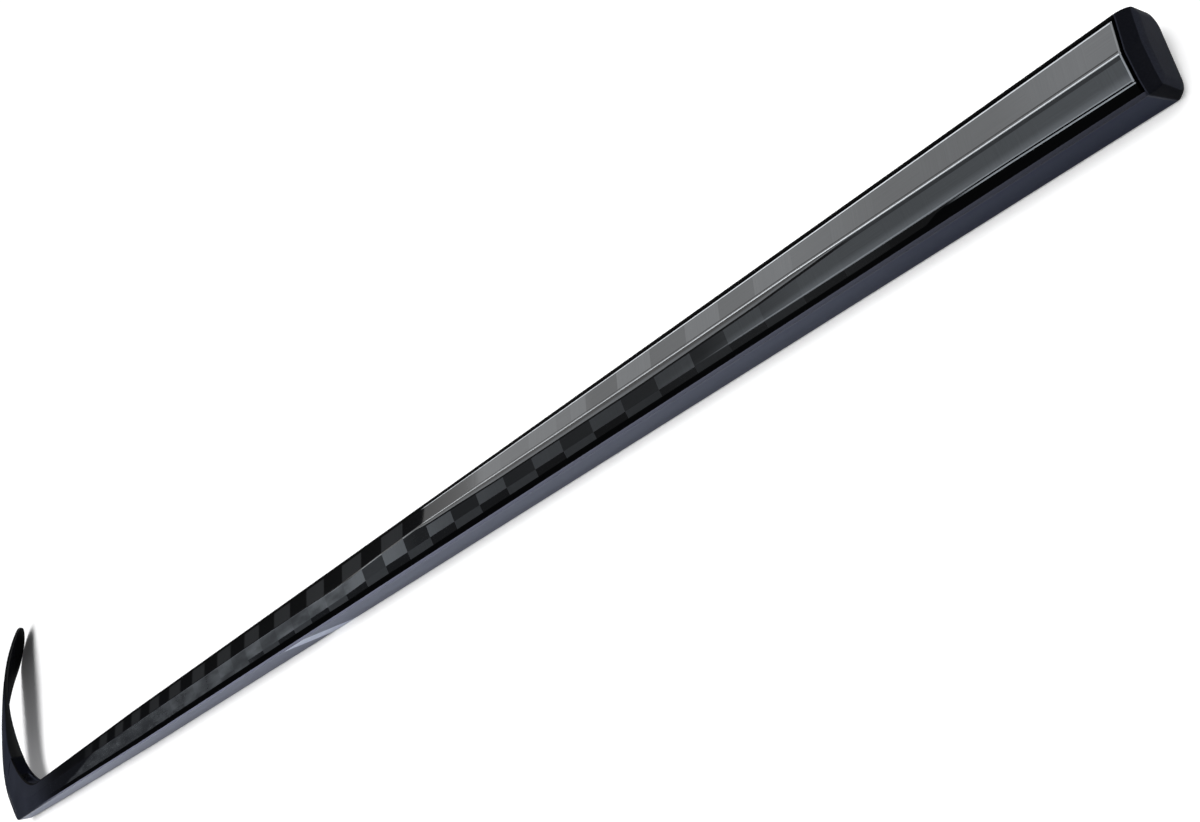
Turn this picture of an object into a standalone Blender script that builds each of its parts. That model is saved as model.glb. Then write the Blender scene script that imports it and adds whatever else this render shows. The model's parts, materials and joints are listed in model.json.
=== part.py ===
# Ice hockey stick, one-piece carbon type, left-handed, lying on the floor on its concave side.
#
# The parts are modelled in the stick's own frame, in metres:
#   X runs along the shaft from the heel (0) to the butt end,
#   Y points to the side that the toe is on,
#   Z points out of the backhand side, the convex side of the blade.
# An empty then rolls the whole stick onto the floor, where it rests on the lower heel-side
# edge of the shaft and on the toe, and puts the middle of its footprint on the origin.

import bpy
import bmesh
import numpy as np
from math import cos, sin, tan, pi, radians, hypot, atan2
from mathutils import Matrix, Vector

MM = 0.001

# Overall
HEEL_TO_BUTT = 1500.0 * MM     # heel corner to the end of the butt cap
FIT_GAP = 0.3 * MM             # clearance between pieces that touch
BOND_GAP = 0.3 * MM            # adhesive line between glued pieces

# Shaft section, a flat-backed rectangle with a low spine on the backhand side
SHAFT_WIDTH = 30.6 * MM        # wide face, along Y
SHAFT_BACK = 10.4 * MM         # axis to the flat forehand face
SHAFT_SHOULDER = 9.3 * MM      # axis to the backhand corners
SPINE_RISE = 2.9 * MM          # crest above the backhand corners
CORNER_RADIUS = 2.3 * MM
LEAST_RADIUS = 0.4 * MM        # smallest rounding left on an inset outline
SHAFT_WALL = 2.0 * MM
LOWER_FACET_SLOPE = radians(7.5)   # backhand facet on the heel side of the spine

# The spine's flat land widens and drifts along the shaft
RIDGE_FLAT = 1.2 * MM          # width of the ridge where there is no land
LAND_WIDTH = 3.9 * MM          # widest place of the land
LAND_START = 945.0 * MM
LAND_END = 1430.0 * MM
SPINE_OFFSET = 0.9 * MM        # ridge to the shaft's middle, towards the toe side
SPINE_DRIFT = 2.4 * MM         # extra offset of the land's lower end
DRIFT_PEAK = 1030.0 * MM
DRIFT_FADE = 130.0 * MM        # length over which the drift dies out below its peak

# The bevel between the lower facet and the heel-side corner
BEVEL_AT_BUTT = 4.0 * MM
BEVEL_BELOW = 7.6 * MM
BEVEL_START = 1420.0 * MM
BEVEL_END = 980.0 * MM

# Taper of the shaft towards the blade
TAPER_START = 450.0 * MM       # full section above this place
TIP_WIDTH = 24.8 * MM          # width carried on to the heel
TIP_THICKNESS = 0.90           # share of the thickness left at the heel

# Fused joint between shaft and hosel
JOINT_X = 255.0 * MM
TENON_IN_SHAFT = 62.0 * MM
TENON_IN_HOSEL = 88.0 * MM
TENON_LEAD = 3.0 * MM          # chamfer length at both ends of the tenon
TENON_RELIEF = 1.2 * MM        # how far that chamfer draws in
FOAM_PLUG_LENGTH = 45.0 * MM
FAN_X = 128.0 * MM             # the hosel starts to turn into the blade here
HOSEL_WALL = 2.2 * MM
ROOT_WALL = 1.3 * MM           # wall of the hosel where the blade begins

# Butt cap
CAP_LENGTH = 7.0 * MM          # seat to the highest place of the cap's end
CAP_LEAN = 3.2 * MM            # how much lower the end is on the forehand side
CAP_RIM_DRAW = 1.2 * MM        # how far the flange draws in up to its rim
CAP_DOME = 1.2 * MM            # height of the end's dome above the rim
CAP_DOME_DRAW = 3.4 * MM       # rim to the dome's flat middle
CAP_TOP_RADIUS = 4.0 * MM      # backhand corners at the rim
CAP_BACK_RADIUS = 6.5 * MM     # forehand corners at the rim
CAP_FLOOR = 6.0 * MM           # thickness of the cap's end, where it is highest
CAP_STEM = 42.0 * MM           # length of the plug in the bore
CAP_WALL = 2.2 * MM
STEM_LEAD = 4.0 * MM
STEM_RELIEF = 0.8 * MM

# Blade outline, laid flat
LIE = radians(134.4)           # angle between the shaft and the blade's lower edge
BLADE_LENGTH = 323.6 * MM
ROOT_LENGTH = 42.0 * MM        # where hosel shell ends and the blade's skins begin
HEEL_HEIGHT = 55.2 * MM
BLADE_HEIGHT = 66.2 * MM
FULL_HEIGHT_AT = 190.0 * MM
ROCKER = 2.9 * MM              # rise of the lower edge towards the toe
TOE_DEPTH = 40.1 * MM          # length over which the toe is rounded
TOE_CENTRE = 0.46              # height of the toe's tip, as a share of the blade's height
TOE_POWER = 2.2
HEEL_RADIUS = 18.0 * MM
CROTCH_RADIUS = 130.0 * MM
ROOT_RADIUS = 1.2 * MM         # edges of the hosel where the blade begins

# Blade curve
CURVE_RATE = radians(28.1)     # turn of the blade from heel to toe
CURVE_HOOK = radians(1.2)      # extra turn gathered towards the toe
FACE_OPEN = radians(1.7)       # lean of the upper edge to the backhand side
OPEN_LENGTH = 70.0 * MM        # length over which the face opens

# Blade thickness and inside
ROOT_THICKNESS = 9.4 * MM
HEEL_SWELL = 3.7 * MM          # extra on each face where the blade begins
SWELL_END = 145.0 * MM         # the extra has faded out here
TOE_THICKNESS = 5.8 * MM
EDGE_THINNING = 0.34           # share of thickness lost at the edges
TOE_THINNING = 60.0 * MM
SKIN = 1.0 * MM
EDGE_BAND = 5.0 * MM
SPAR = 3.0 * MM
SPAR_HEIGHT = 0.5              # spar position, as a share of the blade's height

# Resolution of the curves
CORNER_STEPS = 3
BLADE_STEPS = 26
HEIGHT_STEPS = 12
TOE_STEPS = 18

for old in list(bpy.data.objects):
    bpy.data.objects.remove(old, do_unlink=True)

stick = bpy.data.collections.new("ice_hockey_stick")
bpy.context.scene.collection.children.link(stick)


def make_material(name, colour, roughness, metallic=0.0):
    """A plain Principled material."""
    mat = bpy.data.materials.new(name)
    mat.use_nodes = True
    shader = mat.node_tree.nodes["Principled BSDF"]
    shader.inputs["Base Color"].default_value = (*colour, 1.0)
    shader.inputs["Roughness"].default_value = roughness
    shader.inputs["Metallic"].default_value = metallic
    mat.diffuse_color = (*colour, 1.0)
    return mat


def smoothstep(low, high, value):
    """0 below low, 1 above high and an even S between them."""
    t = min(max((value - low) / (high - low), 0.0), 1.0)
    return t * t * (3.0 - 2.0 * t)


def mix(a, b, t):
    return a + (b - a) * t


def add_object(name, bm, mat, collection=stick, sharp=radians(12.0)):
    """Turn a bmesh into a named, smooth-shaded object with one material."""
    mesh = bpy.data.meshes.new(name)
    bm.to_mesh(mesh)
    bm.free()
    mesh.materials.append(mat)
    mesh.shade_smooth()
    mesh.set_sharp_from_angle(angle=sharp)
    ob = bpy.data.objects.new(name, mesh)
    collection.objects.link(ob)
    return ob


def loft(rings, ring_loop=False):
    """Skin a row of closed rings. With ring_loop the last ring meets the first, as in a tube."""
    bm = bmesh.new()
    rows = [[bm.verts.new(p) for p in ring] for ring in rings]
    pairs = list(zip(rows, rows[1:]))
    if ring_loop:
        pairs.append((rows[-1], rows[0]))
    for low, high in pairs:
        count = len(low)
        for i in range(count):
            j = (i + 1) % count
            bm.faces.new((low[i], low[j], high[j], high[i]))
    if not ring_loop:
        bm.faces.new(rows[0])
        bm.faces.new(rows[-1])
    bmesh.ops.recalc_face_normals(bm, faces=bm.faces)
    if bm.calc_volume(signed=True) < 0.0:
        bmesh.ops.reverse_faces(bm, faces=bm.faces)
    return bm


def inset_corners(corners, depth):
    """Move every side of a convex outline inwards by depth. The outline runs clockwise."""
    count = len(corners)
    result = []
    for i, (y, z) in enumerate(corners):
        before = corners[i - 1]
        after = corners[(i + 1) % count]
        one = Vector((y - before[0], z - before[1])).normalized()
        two = Vector((after[0] - y, after[1] - z)).normalized()
        n1 = Vector((one.y, -one.x))
        n2 = Vector((two.y, -two.x))
        shift = (n1 + n2) * (depth / (1.0 + n1.dot(n2)))
        result.append((y + shift.x, z + shift.y))
    return result


def fillet_corners(corners, radii, steps=CORNER_STEPS):
    """Replace each corner that has a radius by an arc with the given steps."""
    count = len(corners)
    points = []
    for i, corner in enumerate(corners):
        radius = radii[i]
        here = Vector(corner)
        if radius <= 0.0:
            points.append(here)
            continue
        to_before = (Vector(corners[i - 1]) - here).normalized()
        to_after = (Vector(corners[(i + 1) % count]) - here).normalized()
        half = to_before.angle(to_after) / 2.0
        centre = here + (to_before + to_after).normalized() * (radius / sin(half))
        start = here + to_before * (radius / tan(half)) - centre
        turn = pi - 2.0 * half
        for k in range(steps + 1):
            angle = -turn * k / steps
            points.append(centre + Vector((start.x * cos(angle) - start.y * sin(angle),
                                           start.x * sin(angle) + start.y * cos(angle))))
    return points


def shaft_corners(x):
    """Corners of the shaft's outline at x, clockwise from the lower heel-side one, in Y and Z."""
    t = min(max(x / TAPER_START, 0.0), 1.0)
    half = mix(TIP_WIDTH, SHAFT_WIDTH, t) / 2.0
    thin = mix(TIP_THICKNESS, 1.0, t)
    across = half / (SHAFT_WIDTH / 2.0)
    back, shoulder = SHAFT_BACK * thin, SHAFT_SHOULDER * thin
    crest = shoulder + SPINE_RISE * thin

    drift = smoothstep(LAND_END, DRIFT_PEAK, x) * smoothstep(DRIFT_PEAK - DRIFT_FADE, DRIFT_PEAK, x)
    ridge = (SPINE_OFFSET + SPINE_DRIFT * drift) * across
    inside = min(max((x - LAND_START) / (LAND_END - LAND_START), 0.0), 1.0)
    land = RIDGE_FLAT + (LAND_WIDTH - RIDGE_FLAT) * sin(pi * inside) ** 1.5
    bevel = mix(BEVEL_BELOW, BEVEL_AT_BUTT, smoothstep(BEVEL_END, BEVEL_START, x)) * across

    foot = ridge - land * across
    line = -half + bevel
    line_height = crest - (foot - line) * tan(LOWER_FACET_SLOPE)
    return [(-half, -back), (-half, shoulder), (line, line_height), (foot, crest), (ridge, crest),
            (half, shoulder), (half, -back), (half / 2.0, -back), (0.0, -back), (-half / 2.0, -back)]


ROUNDED = (0, 1, 5, 6)         # corners of the section that are filleted


def corner_radii(top, back):
    """A radius for each corner of the section, one for the backhand side and one for the forehand side."""
    return [0.0 if i not in ROUNDED else back if i in (0, 6) else top for i in range(10)]


def shaft_ring(x, depth=0.0, place=None, top=CORNER_RADIUS, back=CORNER_RADIUS):
    """One ring of the shaft's section, inset by depth, at x or at another place."""
    radii = corner_radii(max(top - depth, LEAST_RADIUS), max(back - depth, LEAST_RADIUS))
    outline = fillet_corners(inset_corners(shaft_corners(x), depth), radii)
    at = x if place is None else place
    return [Vector((at, p.x, p.y)) for p in outline]


def shaft_stations(low, high):
    """Places along the shaft that follow its taper, land and bevel."""
    marks = [low, high, TAPER_START, LAND_START, LAND_END, DRIFT_PEAK - DRIFT_FADE, DRIFT_PEAK]
    marks = sorted(m for m in marks if low <= m <= high)
    places = []
    for a, b in zip(marks, marks[1:]):
        if b - a < 1.0 * MM:
            continue
        count = max(1, round((b - a) / (45.0 * MM if a >= LAND_START - 50.0 * MM else 110.0 * MM)))
        places += [a + (b - a) * k / count for k in range(count)]
    return places + [high]


# Blade: flat outline and the curve that bends it

ALONG = Vector((cos(LIE), sin(LIE), 0.0))       # lower edge, heel to toe
UPWARD = Vector((sin(LIE), -cos(LIE), 0.0))     # across the blade, lower edge to upper edge
HEEL = Vector((0.0, -TIP_WIDTH / 2.0, 0.0))

curve_a = np.linspace(0.0, BLADE_LENGTH, 401)
curve_turn = CURVE_RATE * curve_a / BLADE_LENGTH + CURVE_HOOK * (curve_a / BLADE_LENGTH) ** 2
curve_step = np.diff(curve_a)
curve_mid = (curve_turn[1:] + curve_turn[:-1]) / 2.0
curve_run = np.concatenate(([0.0], np.cumsum(np.cos(curve_mid) * curve_step)))
curve_drop = np.concatenate(([0.0], np.cumsum(np.sin(curve_mid) * curve_step)))


def bend(a, h, z):
    """Blade coordinates (length, height, out of the backhand face) to the stick's frame."""
    if a <= 0.0:
        return HEEL + ALONG * a + UPWARD * h + Vector((0.0, 0.0, z))
    turn = float(np.interp(a, curve_a, curve_turn))
    run = float(np.interp(a, curve_a, curve_run))
    drop = float(np.interp(a, curve_a, curve_drop))
    lean = FACE_OPEN * smoothstep(0.0, OPEN_LENGTH, a)
    normal = Vector((0.0, 0.0, cos(turn))) + ALONG * sin(turn)
    up = UPWARD * cos(lean) + normal * sin(lean)
    out = normal * cos(lean) - UPWARD * sin(lean)
    return HEEL + ALONG * run - Vector((0.0, 0.0, drop)) + up * h + out * z


def lower_edge(a):
    share = min(max(a, 0.0) / (BLADE_LENGTH - TOE_DEPTH), 1.0)
    return ROCKER * share * share


def upper_edge(a):
    return mix(HEEL_HEIGHT, BLADE_HEIGHT, smoothstep(ROOT_LENGTH, FULL_HEIGHT_AT, a))


TOE_LOW = lower_edge(BLADE_LENGTH)
TOE_HIGH = upper_edge(BLADE_LENGTH)
TOE_MIDDLE = mix(TOE_LOW, TOE_HIGH, TOE_CENTRE)


def toe_end(h, inset=0.0):
    """Length at which the toe's rounding ends, at height h."""
    reach = (TOE_HIGH - TOE_MIDDLE if h > TOE_MIDDLE else TOE_MIDDLE - TOE_LOW) - inset
    t = min(abs(h - TOE_MIDDLE) / reach, 1.0)
    return BLADE_LENGTH - TOE_DEPTH + (TOE_DEPTH - inset) * (1.0 - t ** TOE_POWER) ** (1.0 / TOE_POWER)


def heel_swell(a):
    """How much the heel's fullness adds to each face."""
    return HEEL_SWELL * (1.0 - smoothstep(ROOT_LENGTH, SWELL_END, a))


def half_thickness(a, h):
    """Half the blade's thickness, fullest along its middle."""
    out = min(max((a - ROOT_LENGTH) / (BLADE_LENGTH - ROOT_LENGTH), 0.0), 1.0)
    middle = mix(ROOT_THICKNESS, TOE_THICKNESS, out) / 2.0
    low, high = lower_edge(a), upper_edge(a)
    side = min(abs(2.0 * (h - low) / (high - low) - 1.0), 1.0)
    near_toe = min(max(1.0 - (toe_end(h) - a) / TOE_THINNING, 0.0), 1.0)
    return middle * (1.0 - EDGE_THINNING * min(side ** 3 + near_toe ** 3, 1.0)) + heel_swell(a)


def inner_half(a, h):
    """Half the space between the blade's skins."""
    return half_thickness(a, h) - SKIN - BOND_GAP


# Hosel: the shaft's outline turns through the heel and becomes the blade's root

def rounded_path(start, corner, end, radius, steps=10):
    """A straight run to a rounded corner and on to the end, as points in the stick's plane."""
    back = (start - corner).normalized()
    on = (end - corner).normalized()
    half = back.angle(on) / 2.0
    centre = corner + (back + on).normalized() * (radius / sin(half))
    first = corner + back * (radius / tan(half)) - centre
    last = corner + on * (radius / tan(half)) - centre
    turn = atan2(first.x * last.y - first.y * last.x, first.x * last.x + first.y * last.y)
    arc = [centre + Vector((first.x * cos(turn * k / steps) - first.y * sin(turn * k / steps),
                            first.x * sin(turn * k / steps) + first.y * cos(turn * k / steps)))
           for k in range(steps + 1)]
    return [start] + arc + [end]


def point_on(path, share):
    """The point at a share of a path's length."""
    lengths = [hypot(*(b - a)) for a, b in zip(path, path[1:])]
    left = share * sum(lengths)
    for (a, b), length in zip(zip(path, path[1:]), lengths):
        if left <= length:
            return a.lerp(b, left / length)
        left -= length
    return path[-1]


fan_half = shaft_corners(FAN_X)[6][0]
root_low = (HEEL + ALONG * ROOT_LENGTH).xy
root_high = (HEEL + ALONG * ROOT_LENGTH + UPWARD * HEEL_HEIGHT).xy
crotch_run = (TIP_WIDTH / 2.0 - root_high.y) / ALONG.y
crotch = root_high + ALONG.xy * crotch_run
heel_path = rounded_path(Vector((FAN_X, -fan_half)), HEEL.xy, root_low, HEEL_RADIUS)
crotch_path = rounded_path(Vector((FAN_X, fan_half)), crotch, root_high, CROTCH_RADIUS)


def root_corners(half):
    """The blade's root in the same ten corners as the shaft's outline."""
    swell = heel_swell(ROOT_LENGTH)
    thick = ROOT_THICKNESS / 2.0 + swell
    edge = ROOT_THICKNESS / 2.0 * (1.0 - EDGE_THINNING) + swell
    crown = ROOT_THICKNESS / 2.0 * (1.0 - EDGE_THINNING * 0.55 ** 3) + swell
    return [(-half, -edge), (-half, edge), (-half * 0.55, crown), (-half * 0.08, thick),
            (half * 0.08, thick), (half, edge), (half, -edge), (half * 0.5, -crown), (0.0, -thick),
            (-half * 0.5, -crown)]


def hosel_ring(step, depth):
    """One ring of the hosel: step 0 is the joint, 1 the start of the turn and 2 the blade's root."""
    if step <= 1.0:
        x = mix(JOINT_X, FAN_X, step)
        low, high = Vector((x, shaft_corners(x)[0][0])), Vector((x, shaft_corners(x)[6][0]))
        blend = 0.0
    else:
        turn = step - 1.0
        low, high = point_on(heel_path, turn), point_on(crotch_path, turn)
        x = FAN_X * (1.0 - turn)
        blend = smoothstep(0.0, 1.0, turn)
    half = (high - low).length / 2.0
    middle = (high + low) / 2.0
    across = (high - low).normalized()
    shaft = shaft_corners(x)
    scale = half / shaft[6][0]
    root = root_corners(half)
    corners = [(mix(s[0] * scale, r[0], blend), mix(s[1], r[1], blend)) for s, r in zip(shaft, root)]
    radius = max(mix(CORNER_RADIUS, ROOT_RADIUS, blend) - depth, LEAST_RADIUS)
    outline = fillet_corners(inset_corners(corners, depth), corner_radii(radius, radius))
    ring = []
    for p in outline:
        flat = middle + across * p.x - HEEL.xy
        ring.append(bend(flat.dot(ALONG.xy), flat.dot(UPWARD.xy), p.y))
    return ring


def hosel_wall(step):
    return mix(HOSEL_WALL, ROOT_WALL, smoothstep(1.0, 2.0, step))


# Materials

carbon_gloss = make_material("carbon_gloss_black", (0.020, 0.022, 0.026), 0.22)
carbon_blade = make_material("carbon_blade_black", (0.014, 0.015, 0.019), 0.28)
cap_black = make_material("cap_black", (0.012, 0.013, 0.017), 0.45)
carbon_raw = make_material("raw_carbon", (0.035, 0.036, 0.040), 0.55)
foam_grey = make_material("foam_grey", (0.55, 0.54, 0.50), 0.90)
band_black = make_material("band_black", (0.020, 0.020, 0.022), 0.40)


# Shaft tube

cap_seat = HEEL_TO_BUTT - CAP_LENGTH
tube_places = shaft_stations(JOINT_X + BOND_GAP, cap_seat - FIT_GAP)
outside = [shaft_ring(x) for x in tube_places]
bore = [shaft_ring(x, SHAFT_WALL) for x in reversed(tube_places)]
shaft_tube = add_object("shaft_tube", loft(outside + bore, ring_loop=True), carbon_gloss, sharp=radians(3.0))


# Butt cap: rounded end, flange flush with the shaft and a hollow plug in the bore

def cap_ring(rise, depth, top, back):
    """One ring of the cap's outside, inset by depth at a share of its rise from the seat to the end."""
    ring = shaft_ring(cap_seat, depth, cap_seat, top, back)
    for p in ring:
        low = (SHAFT_SHOULDER + SPINE_RISE - p.z) / (SHAFT_SHOULDER + SPINE_RISE + SHAFT_BACK)
        p.x += rise * (CAP_LENGTH - CAP_LEAN * low)
    return ring


rim_rise = 1.0 - CAP_DOME / CAP_LENGTH
cap_rings = []
for k in range(4):
    out = k / 4.0
    cap_rings.append(cap_ring(mix(1.0, rim_rise, out ** 2), CAP_RIM_DRAW + CAP_DOME_DRAW * (1.0 - out),
                              CAP_TOP_RADIUS, CAP_BACK_RADIUS))
for k in range(4):
    angle = pi / 2.0 * k / 4.0
    top = mix(CORNER_RADIUS, CAP_TOP_RADIUS, cos(angle))
    back = mix(CORNER_RADIUS, CAP_BACK_RADIUS, cos(angle))
    cap_rings.append(cap_ring(rim_rise * cos(angle), CAP_RIM_DRAW * (1.0 - sin(angle)), top, back))
plug_inset = SHAFT_WALL + FIT_GAP
plug_end = cap_seat - CAP_STEM
cap_rings += [
    shaft_ring(cap_seat, 0.0, cap_seat),
    shaft_ring(cap_seat, plug_inset, cap_seat),
    shaft_ring(cap_seat, plug_inset, plug_end + STEM_LEAD),
    shaft_ring(cap_seat, plug_inset + STEM_RELIEF, plug_end),
    shaft_ring(cap_seat, plug_inset + CAP_WALL, plug_end),
    shaft_ring(cap_seat, plug_inset + CAP_WALL, HEEL_TO_BUTT - CAP_FLOOR),
]
butt_cap = add_object("butt_cap", loft(cap_rings), cap_black)


# Tenon and foam plug in the fused joint

tenon_top = JOINT_X + TENON_IN_SHAFT
tenon_foot = JOINT_X - TENON_IN_HOSEL
tenon_places = [tenon_foot + TENON_LEAD, JOINT_X - TENON_IN_HOSEL / 2.0, JOINT_X,
                JOINT_X + TENON_IN_SHAFT / 2.0, tenon_top - TENON_LEAD]
tenon_inset = max(HOSEL_WALL, SHAFT_WALL) + BOND_GAP
tenon_rings = [shaft_ring(tenon_foot, tenon_inset + TENON_RELIEF)]
tenon_rings += [shaft_ring(x, tenon_inset) for x in tenon_places]
tenon_rings += [shaft_ring(tenon_top, tenon_inset + TENON_RELIEF)]
hosel_tenon = add_object("hosel_tenon", loft(tenon_rings), carbon_raw)

plug_low = tenon_top + FIT_GAP
foam_rings = [shaft_ring(x, SHAFT_WALL + FIT_GAP)
              for x in (plug_low, plug_low + FOAM_PLUG_LENGTH / 2.0, plug_low + FOAM_PLUG_LENGTH)]
bore_foam_plug = add_object("bore_foam_plug", loft(foam_rings), foam_grey)


# Hosel shell and the core inside its heel

hosel_steps = [k / 5.0 for k in range(5)] + [1.0 + k / 28.0 for k in range(29)]
shell_out = [hosel_ring(s, 0.0) for s in hosel_steps]
shell_in = [hosel_ring(s, hosel_wall(s)) for s in reversed(hosel_steps)]
hosel_shell = add_object("hosel_shell", loft(shell_out + shell_in, ring_loop=True), carbon_gloss,
                         sharp=radians(3.0))

core_start = (TENON_IN_HOSEL + FIT_GAP) / (JOINT_X - FAN_X)
core_steps = [core_start] + [1.0 + k / 20.0 for k in range(21)]
core_rings = [hosel_ring(s, hosel_wall(s) + BOND_GAP) for s in core_steps]
heel_core = add_object("heel_core", loft(core_rings), foam_grey)


# Blade skins

blade_start = ROOT_LENGTH + BOND_GAP


def skin(name, side, mat):
    """An open sheet on one face of the blade, thickened inwards."""
    bm = bmesh.new()
    bmesh.ops.create_grid(bm, x_segments=BLADE_STEPS, y_segments=HEIGHT_STEPS, size=0.5)
    for v in bm.verts:
        share = v.co.x + 0.5
        up = 0.5 - 0.5 * cos(pi * (v.co.y + 0.5))
        end = toe_end(mix(TOE_LOW, TOE_HIGH, up))
        a = mix(blade_start, end, share)
        h = mix(lower_edge(a), upper_edge(a), up)
        v.co = bend(a, h, side * half_thickness(a, h))
    bmesh.ops.recalc_face_normals(bm, faces=bm.faces)
    middle = sum((f.normal for f in bm.faces), Vector())
    if middle.z * side < 0.0:
        bmesh.ops.reverse_faces(bm, faces=bm.faces)
    ob = add_object(name, bm, mat)
    shell = ob.modifiers.new("thickness", "SOLIDIFY")
    shell.thickness = SKIN
    shell.offset = -1.0
    shell.use_even_offset = True
    return ob


blade_backhand_skin = skin("blade_backhand_skin", 1.0, carbon_blade)
blade_forehand_skin = skin("blade_forehand_skin", -1.0, carbon_blade)


# Edge band between the skins, along the lower edge, round the toe and back along the upper edge

def outline_point(kind, t, inset):
    if kind == "toe":
        angle = mix(-pi / 2.0, pi / 2.0, t)
        reach = (TOE_HIGH - TOE_MIDDLE if angle > 0.0 else TOE_MIDDLE - TOE_LOW) - inset
        power = 2.0 / TOE_POWER
        a = BLADE_LENGTH - TOE_DEPTH + (TOE_DEPTH - inset) * max(cos(angle), 0.0) ** power
        h = TOE_MIDDLE + reach * (abs(sin(angle)) ** power) * (1.0 if angle > 0.0 else -1.0)
        return a, h
    a = mix(blade_start, BLADE_LENGTH - TOE_DEPTH, t)
    return (a, lower_edge(a) + inset) if kind == "low" else (a, upper_edge(a) - inset)


def band_ring(kind, t):
    outer, inner = outline_point(kind, t, 0.0), outline_point(kind, t, EDGE_BAND)
    zo, zi = inner_half(*outer), inner_half(*inner)
    return [bend(*outer, -zo), bend(*outer, zo), bend(*inner, zi), bend(*inner, -zi)]


band_path = [("low", k / 22.0) for k in range(22)]
band_path += [("toe", k / TOE_STEPS) for k in range(TOE_STEPS + 1)]
band_path += [("high", 1.0 - k / 22.0) for k in range(1, 23)]
blade_edge_band = add_object("blade_edge_band", loft([band_ring(*step) for step in band_path]), band_black,
                             sharp=radians(30.0))


# Cores and spar: a block divided along the blade and bent with it

band_inset = EDGE_BAND + BOND_GAP
spar_side = SPAR / 2.0


def blade_block(name, low_at, high_at, mat, steps_up):
    """Fill the space between the skins from one height to another, up to the toe's band."""
    rows = []
    for i in range(BLADE_STEPS + 1):
        share = i / BLADE_STEPS
        ring = []
        for side in (-1.0, 1.0):
            ups = range(steps_up + 1) if side < 0.0 else range(steps_up, -1, -1)
            for k in ups:
                toe_h = mix(low_at(BLADE_LENGTH), high_at(BLADE_LENGTH), k / steps_up)
                a = mix(blade_start, toe_end(toe_h, band_inset), share)
                h = mix(low_at(a), high_at(a), k / steps_up)
                ring.append(bend(a, h, side * inner_half(a, h)))
        rows.append(ring)
    return add_object(name, loft(rows), mat)


def spar_line(a):
    return mix(lower_edge(a), upper_edge(a), SPAR_HEIGHT)


blade_lower_core = blade_block("blade_lower_core", lambda a: lower_edge(a) + band_inset,
                               lambda a: spar_line(a) - spar_side - BOND_GAP, foam_grey, 5)
blade_upper_core = blade_block("blade_upper_core", lambda a: spar_line(a) + spar_side + BOND_GAP,
                               lambda a: upper_edge(a) - band_inset, foam_grey, 5)
blade_spar = blade_block("blade_spar", lambda a: spar_line(a) - spar_side,
                         lambda a: spar_line(a) + spar_side, carbon_raw, 1)


# Resting pose: roll until the shaft's lower edge and the toe are level, then stand on the floor

def world_points(names):
    """The evaluated points of the named objects, in the stick's frame."""
    graph = bpy.context.evaluated_depsgraph_get()
    found = []
    for name in names:
        ready = bpy.data.objects[name].evaluated_get(graph)
        mesh = ready.to_mesh()
        flat = np.empty(len(mesh.vertices) * 3)
        mesh.vertices.foreach_get("co", flat)
        found.append(flat.reshape(-1, 3))
        ready.to_mesh_clear()
    return np.concatenate(found)


def heights(points, roll):
    return points[:, 1] * sin(roll) + points[:, 2] * cos(roll)


shaft_points = world_points(["shaft_tube", "butt_cap"])
blade_points = world_points(["blade_backhand_skin", "blade_forehand_skin", "blade_edge_band"])
low_roll, high_roll = 0.0, radians(40.0)
for _ in range(60):
    roll = (low_roll + high_roll) / 2.0
    if heights(blade_points, roll).min() < heights(shaft_points, roll).min():
        low_roll = roll
    else:
        high_roll = roll

everything = world_points([ob.name for ob in stick.objects])
turned = Matrix.Rotation(roll, 3, "X")
placed = everything @ np.array(turned).T
low, high = placed.min(axis=0), placed.max(axis=0)
pose = bpy.data.objects.new("resting_pose", None)
pose.rotation_euler = (roll, 0.0, 0.0)
pose.location = (-(low[0] + high[0]) / 2.0, -(low[1] + high[1]) / 2.0, -low[2])
stick.objects.link(pose)
for ob in list(stick.objects):
    if ob is not pose:
        ob.parent = pose
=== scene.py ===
# Looks of the ice hockey stick: finer outer pieces, finishes, floor, light and camera
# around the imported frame.
#
# The pieces are modelled in the stick's own frame, as the part's source does: X from the heel (0)
# to the butt end, Y towards the toe's side, Z out of the backhand side, in metres. The shaft's flat
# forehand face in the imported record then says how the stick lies, and each mesh is moved there.

import json
from math import atan2, cos, hypot, pi, radians, sin, tan

import bmesh
import bpy
import numpy as np
from mathutils import Matrix, Vector


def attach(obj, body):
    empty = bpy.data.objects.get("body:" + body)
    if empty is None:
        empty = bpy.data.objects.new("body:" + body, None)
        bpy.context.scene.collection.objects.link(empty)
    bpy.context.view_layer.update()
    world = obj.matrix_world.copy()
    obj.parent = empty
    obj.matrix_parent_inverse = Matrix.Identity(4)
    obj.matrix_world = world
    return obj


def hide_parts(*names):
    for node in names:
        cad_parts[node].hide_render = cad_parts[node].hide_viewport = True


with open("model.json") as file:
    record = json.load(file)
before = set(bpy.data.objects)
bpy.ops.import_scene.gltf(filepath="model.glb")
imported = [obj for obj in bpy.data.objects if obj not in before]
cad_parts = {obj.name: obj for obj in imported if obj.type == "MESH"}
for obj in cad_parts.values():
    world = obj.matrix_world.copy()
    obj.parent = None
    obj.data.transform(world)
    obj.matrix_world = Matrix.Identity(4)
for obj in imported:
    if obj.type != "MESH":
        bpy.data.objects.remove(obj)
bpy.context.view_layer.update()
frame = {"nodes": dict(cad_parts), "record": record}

MM = 0.001

# Overall, as in the part's source
HEEL_TO_BUTT = 1500.0 * MM
FIT_GAP = 0.3 * MM
HAIRLINE = 0.05 * MM           # joint line left between painted-over pieces

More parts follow.
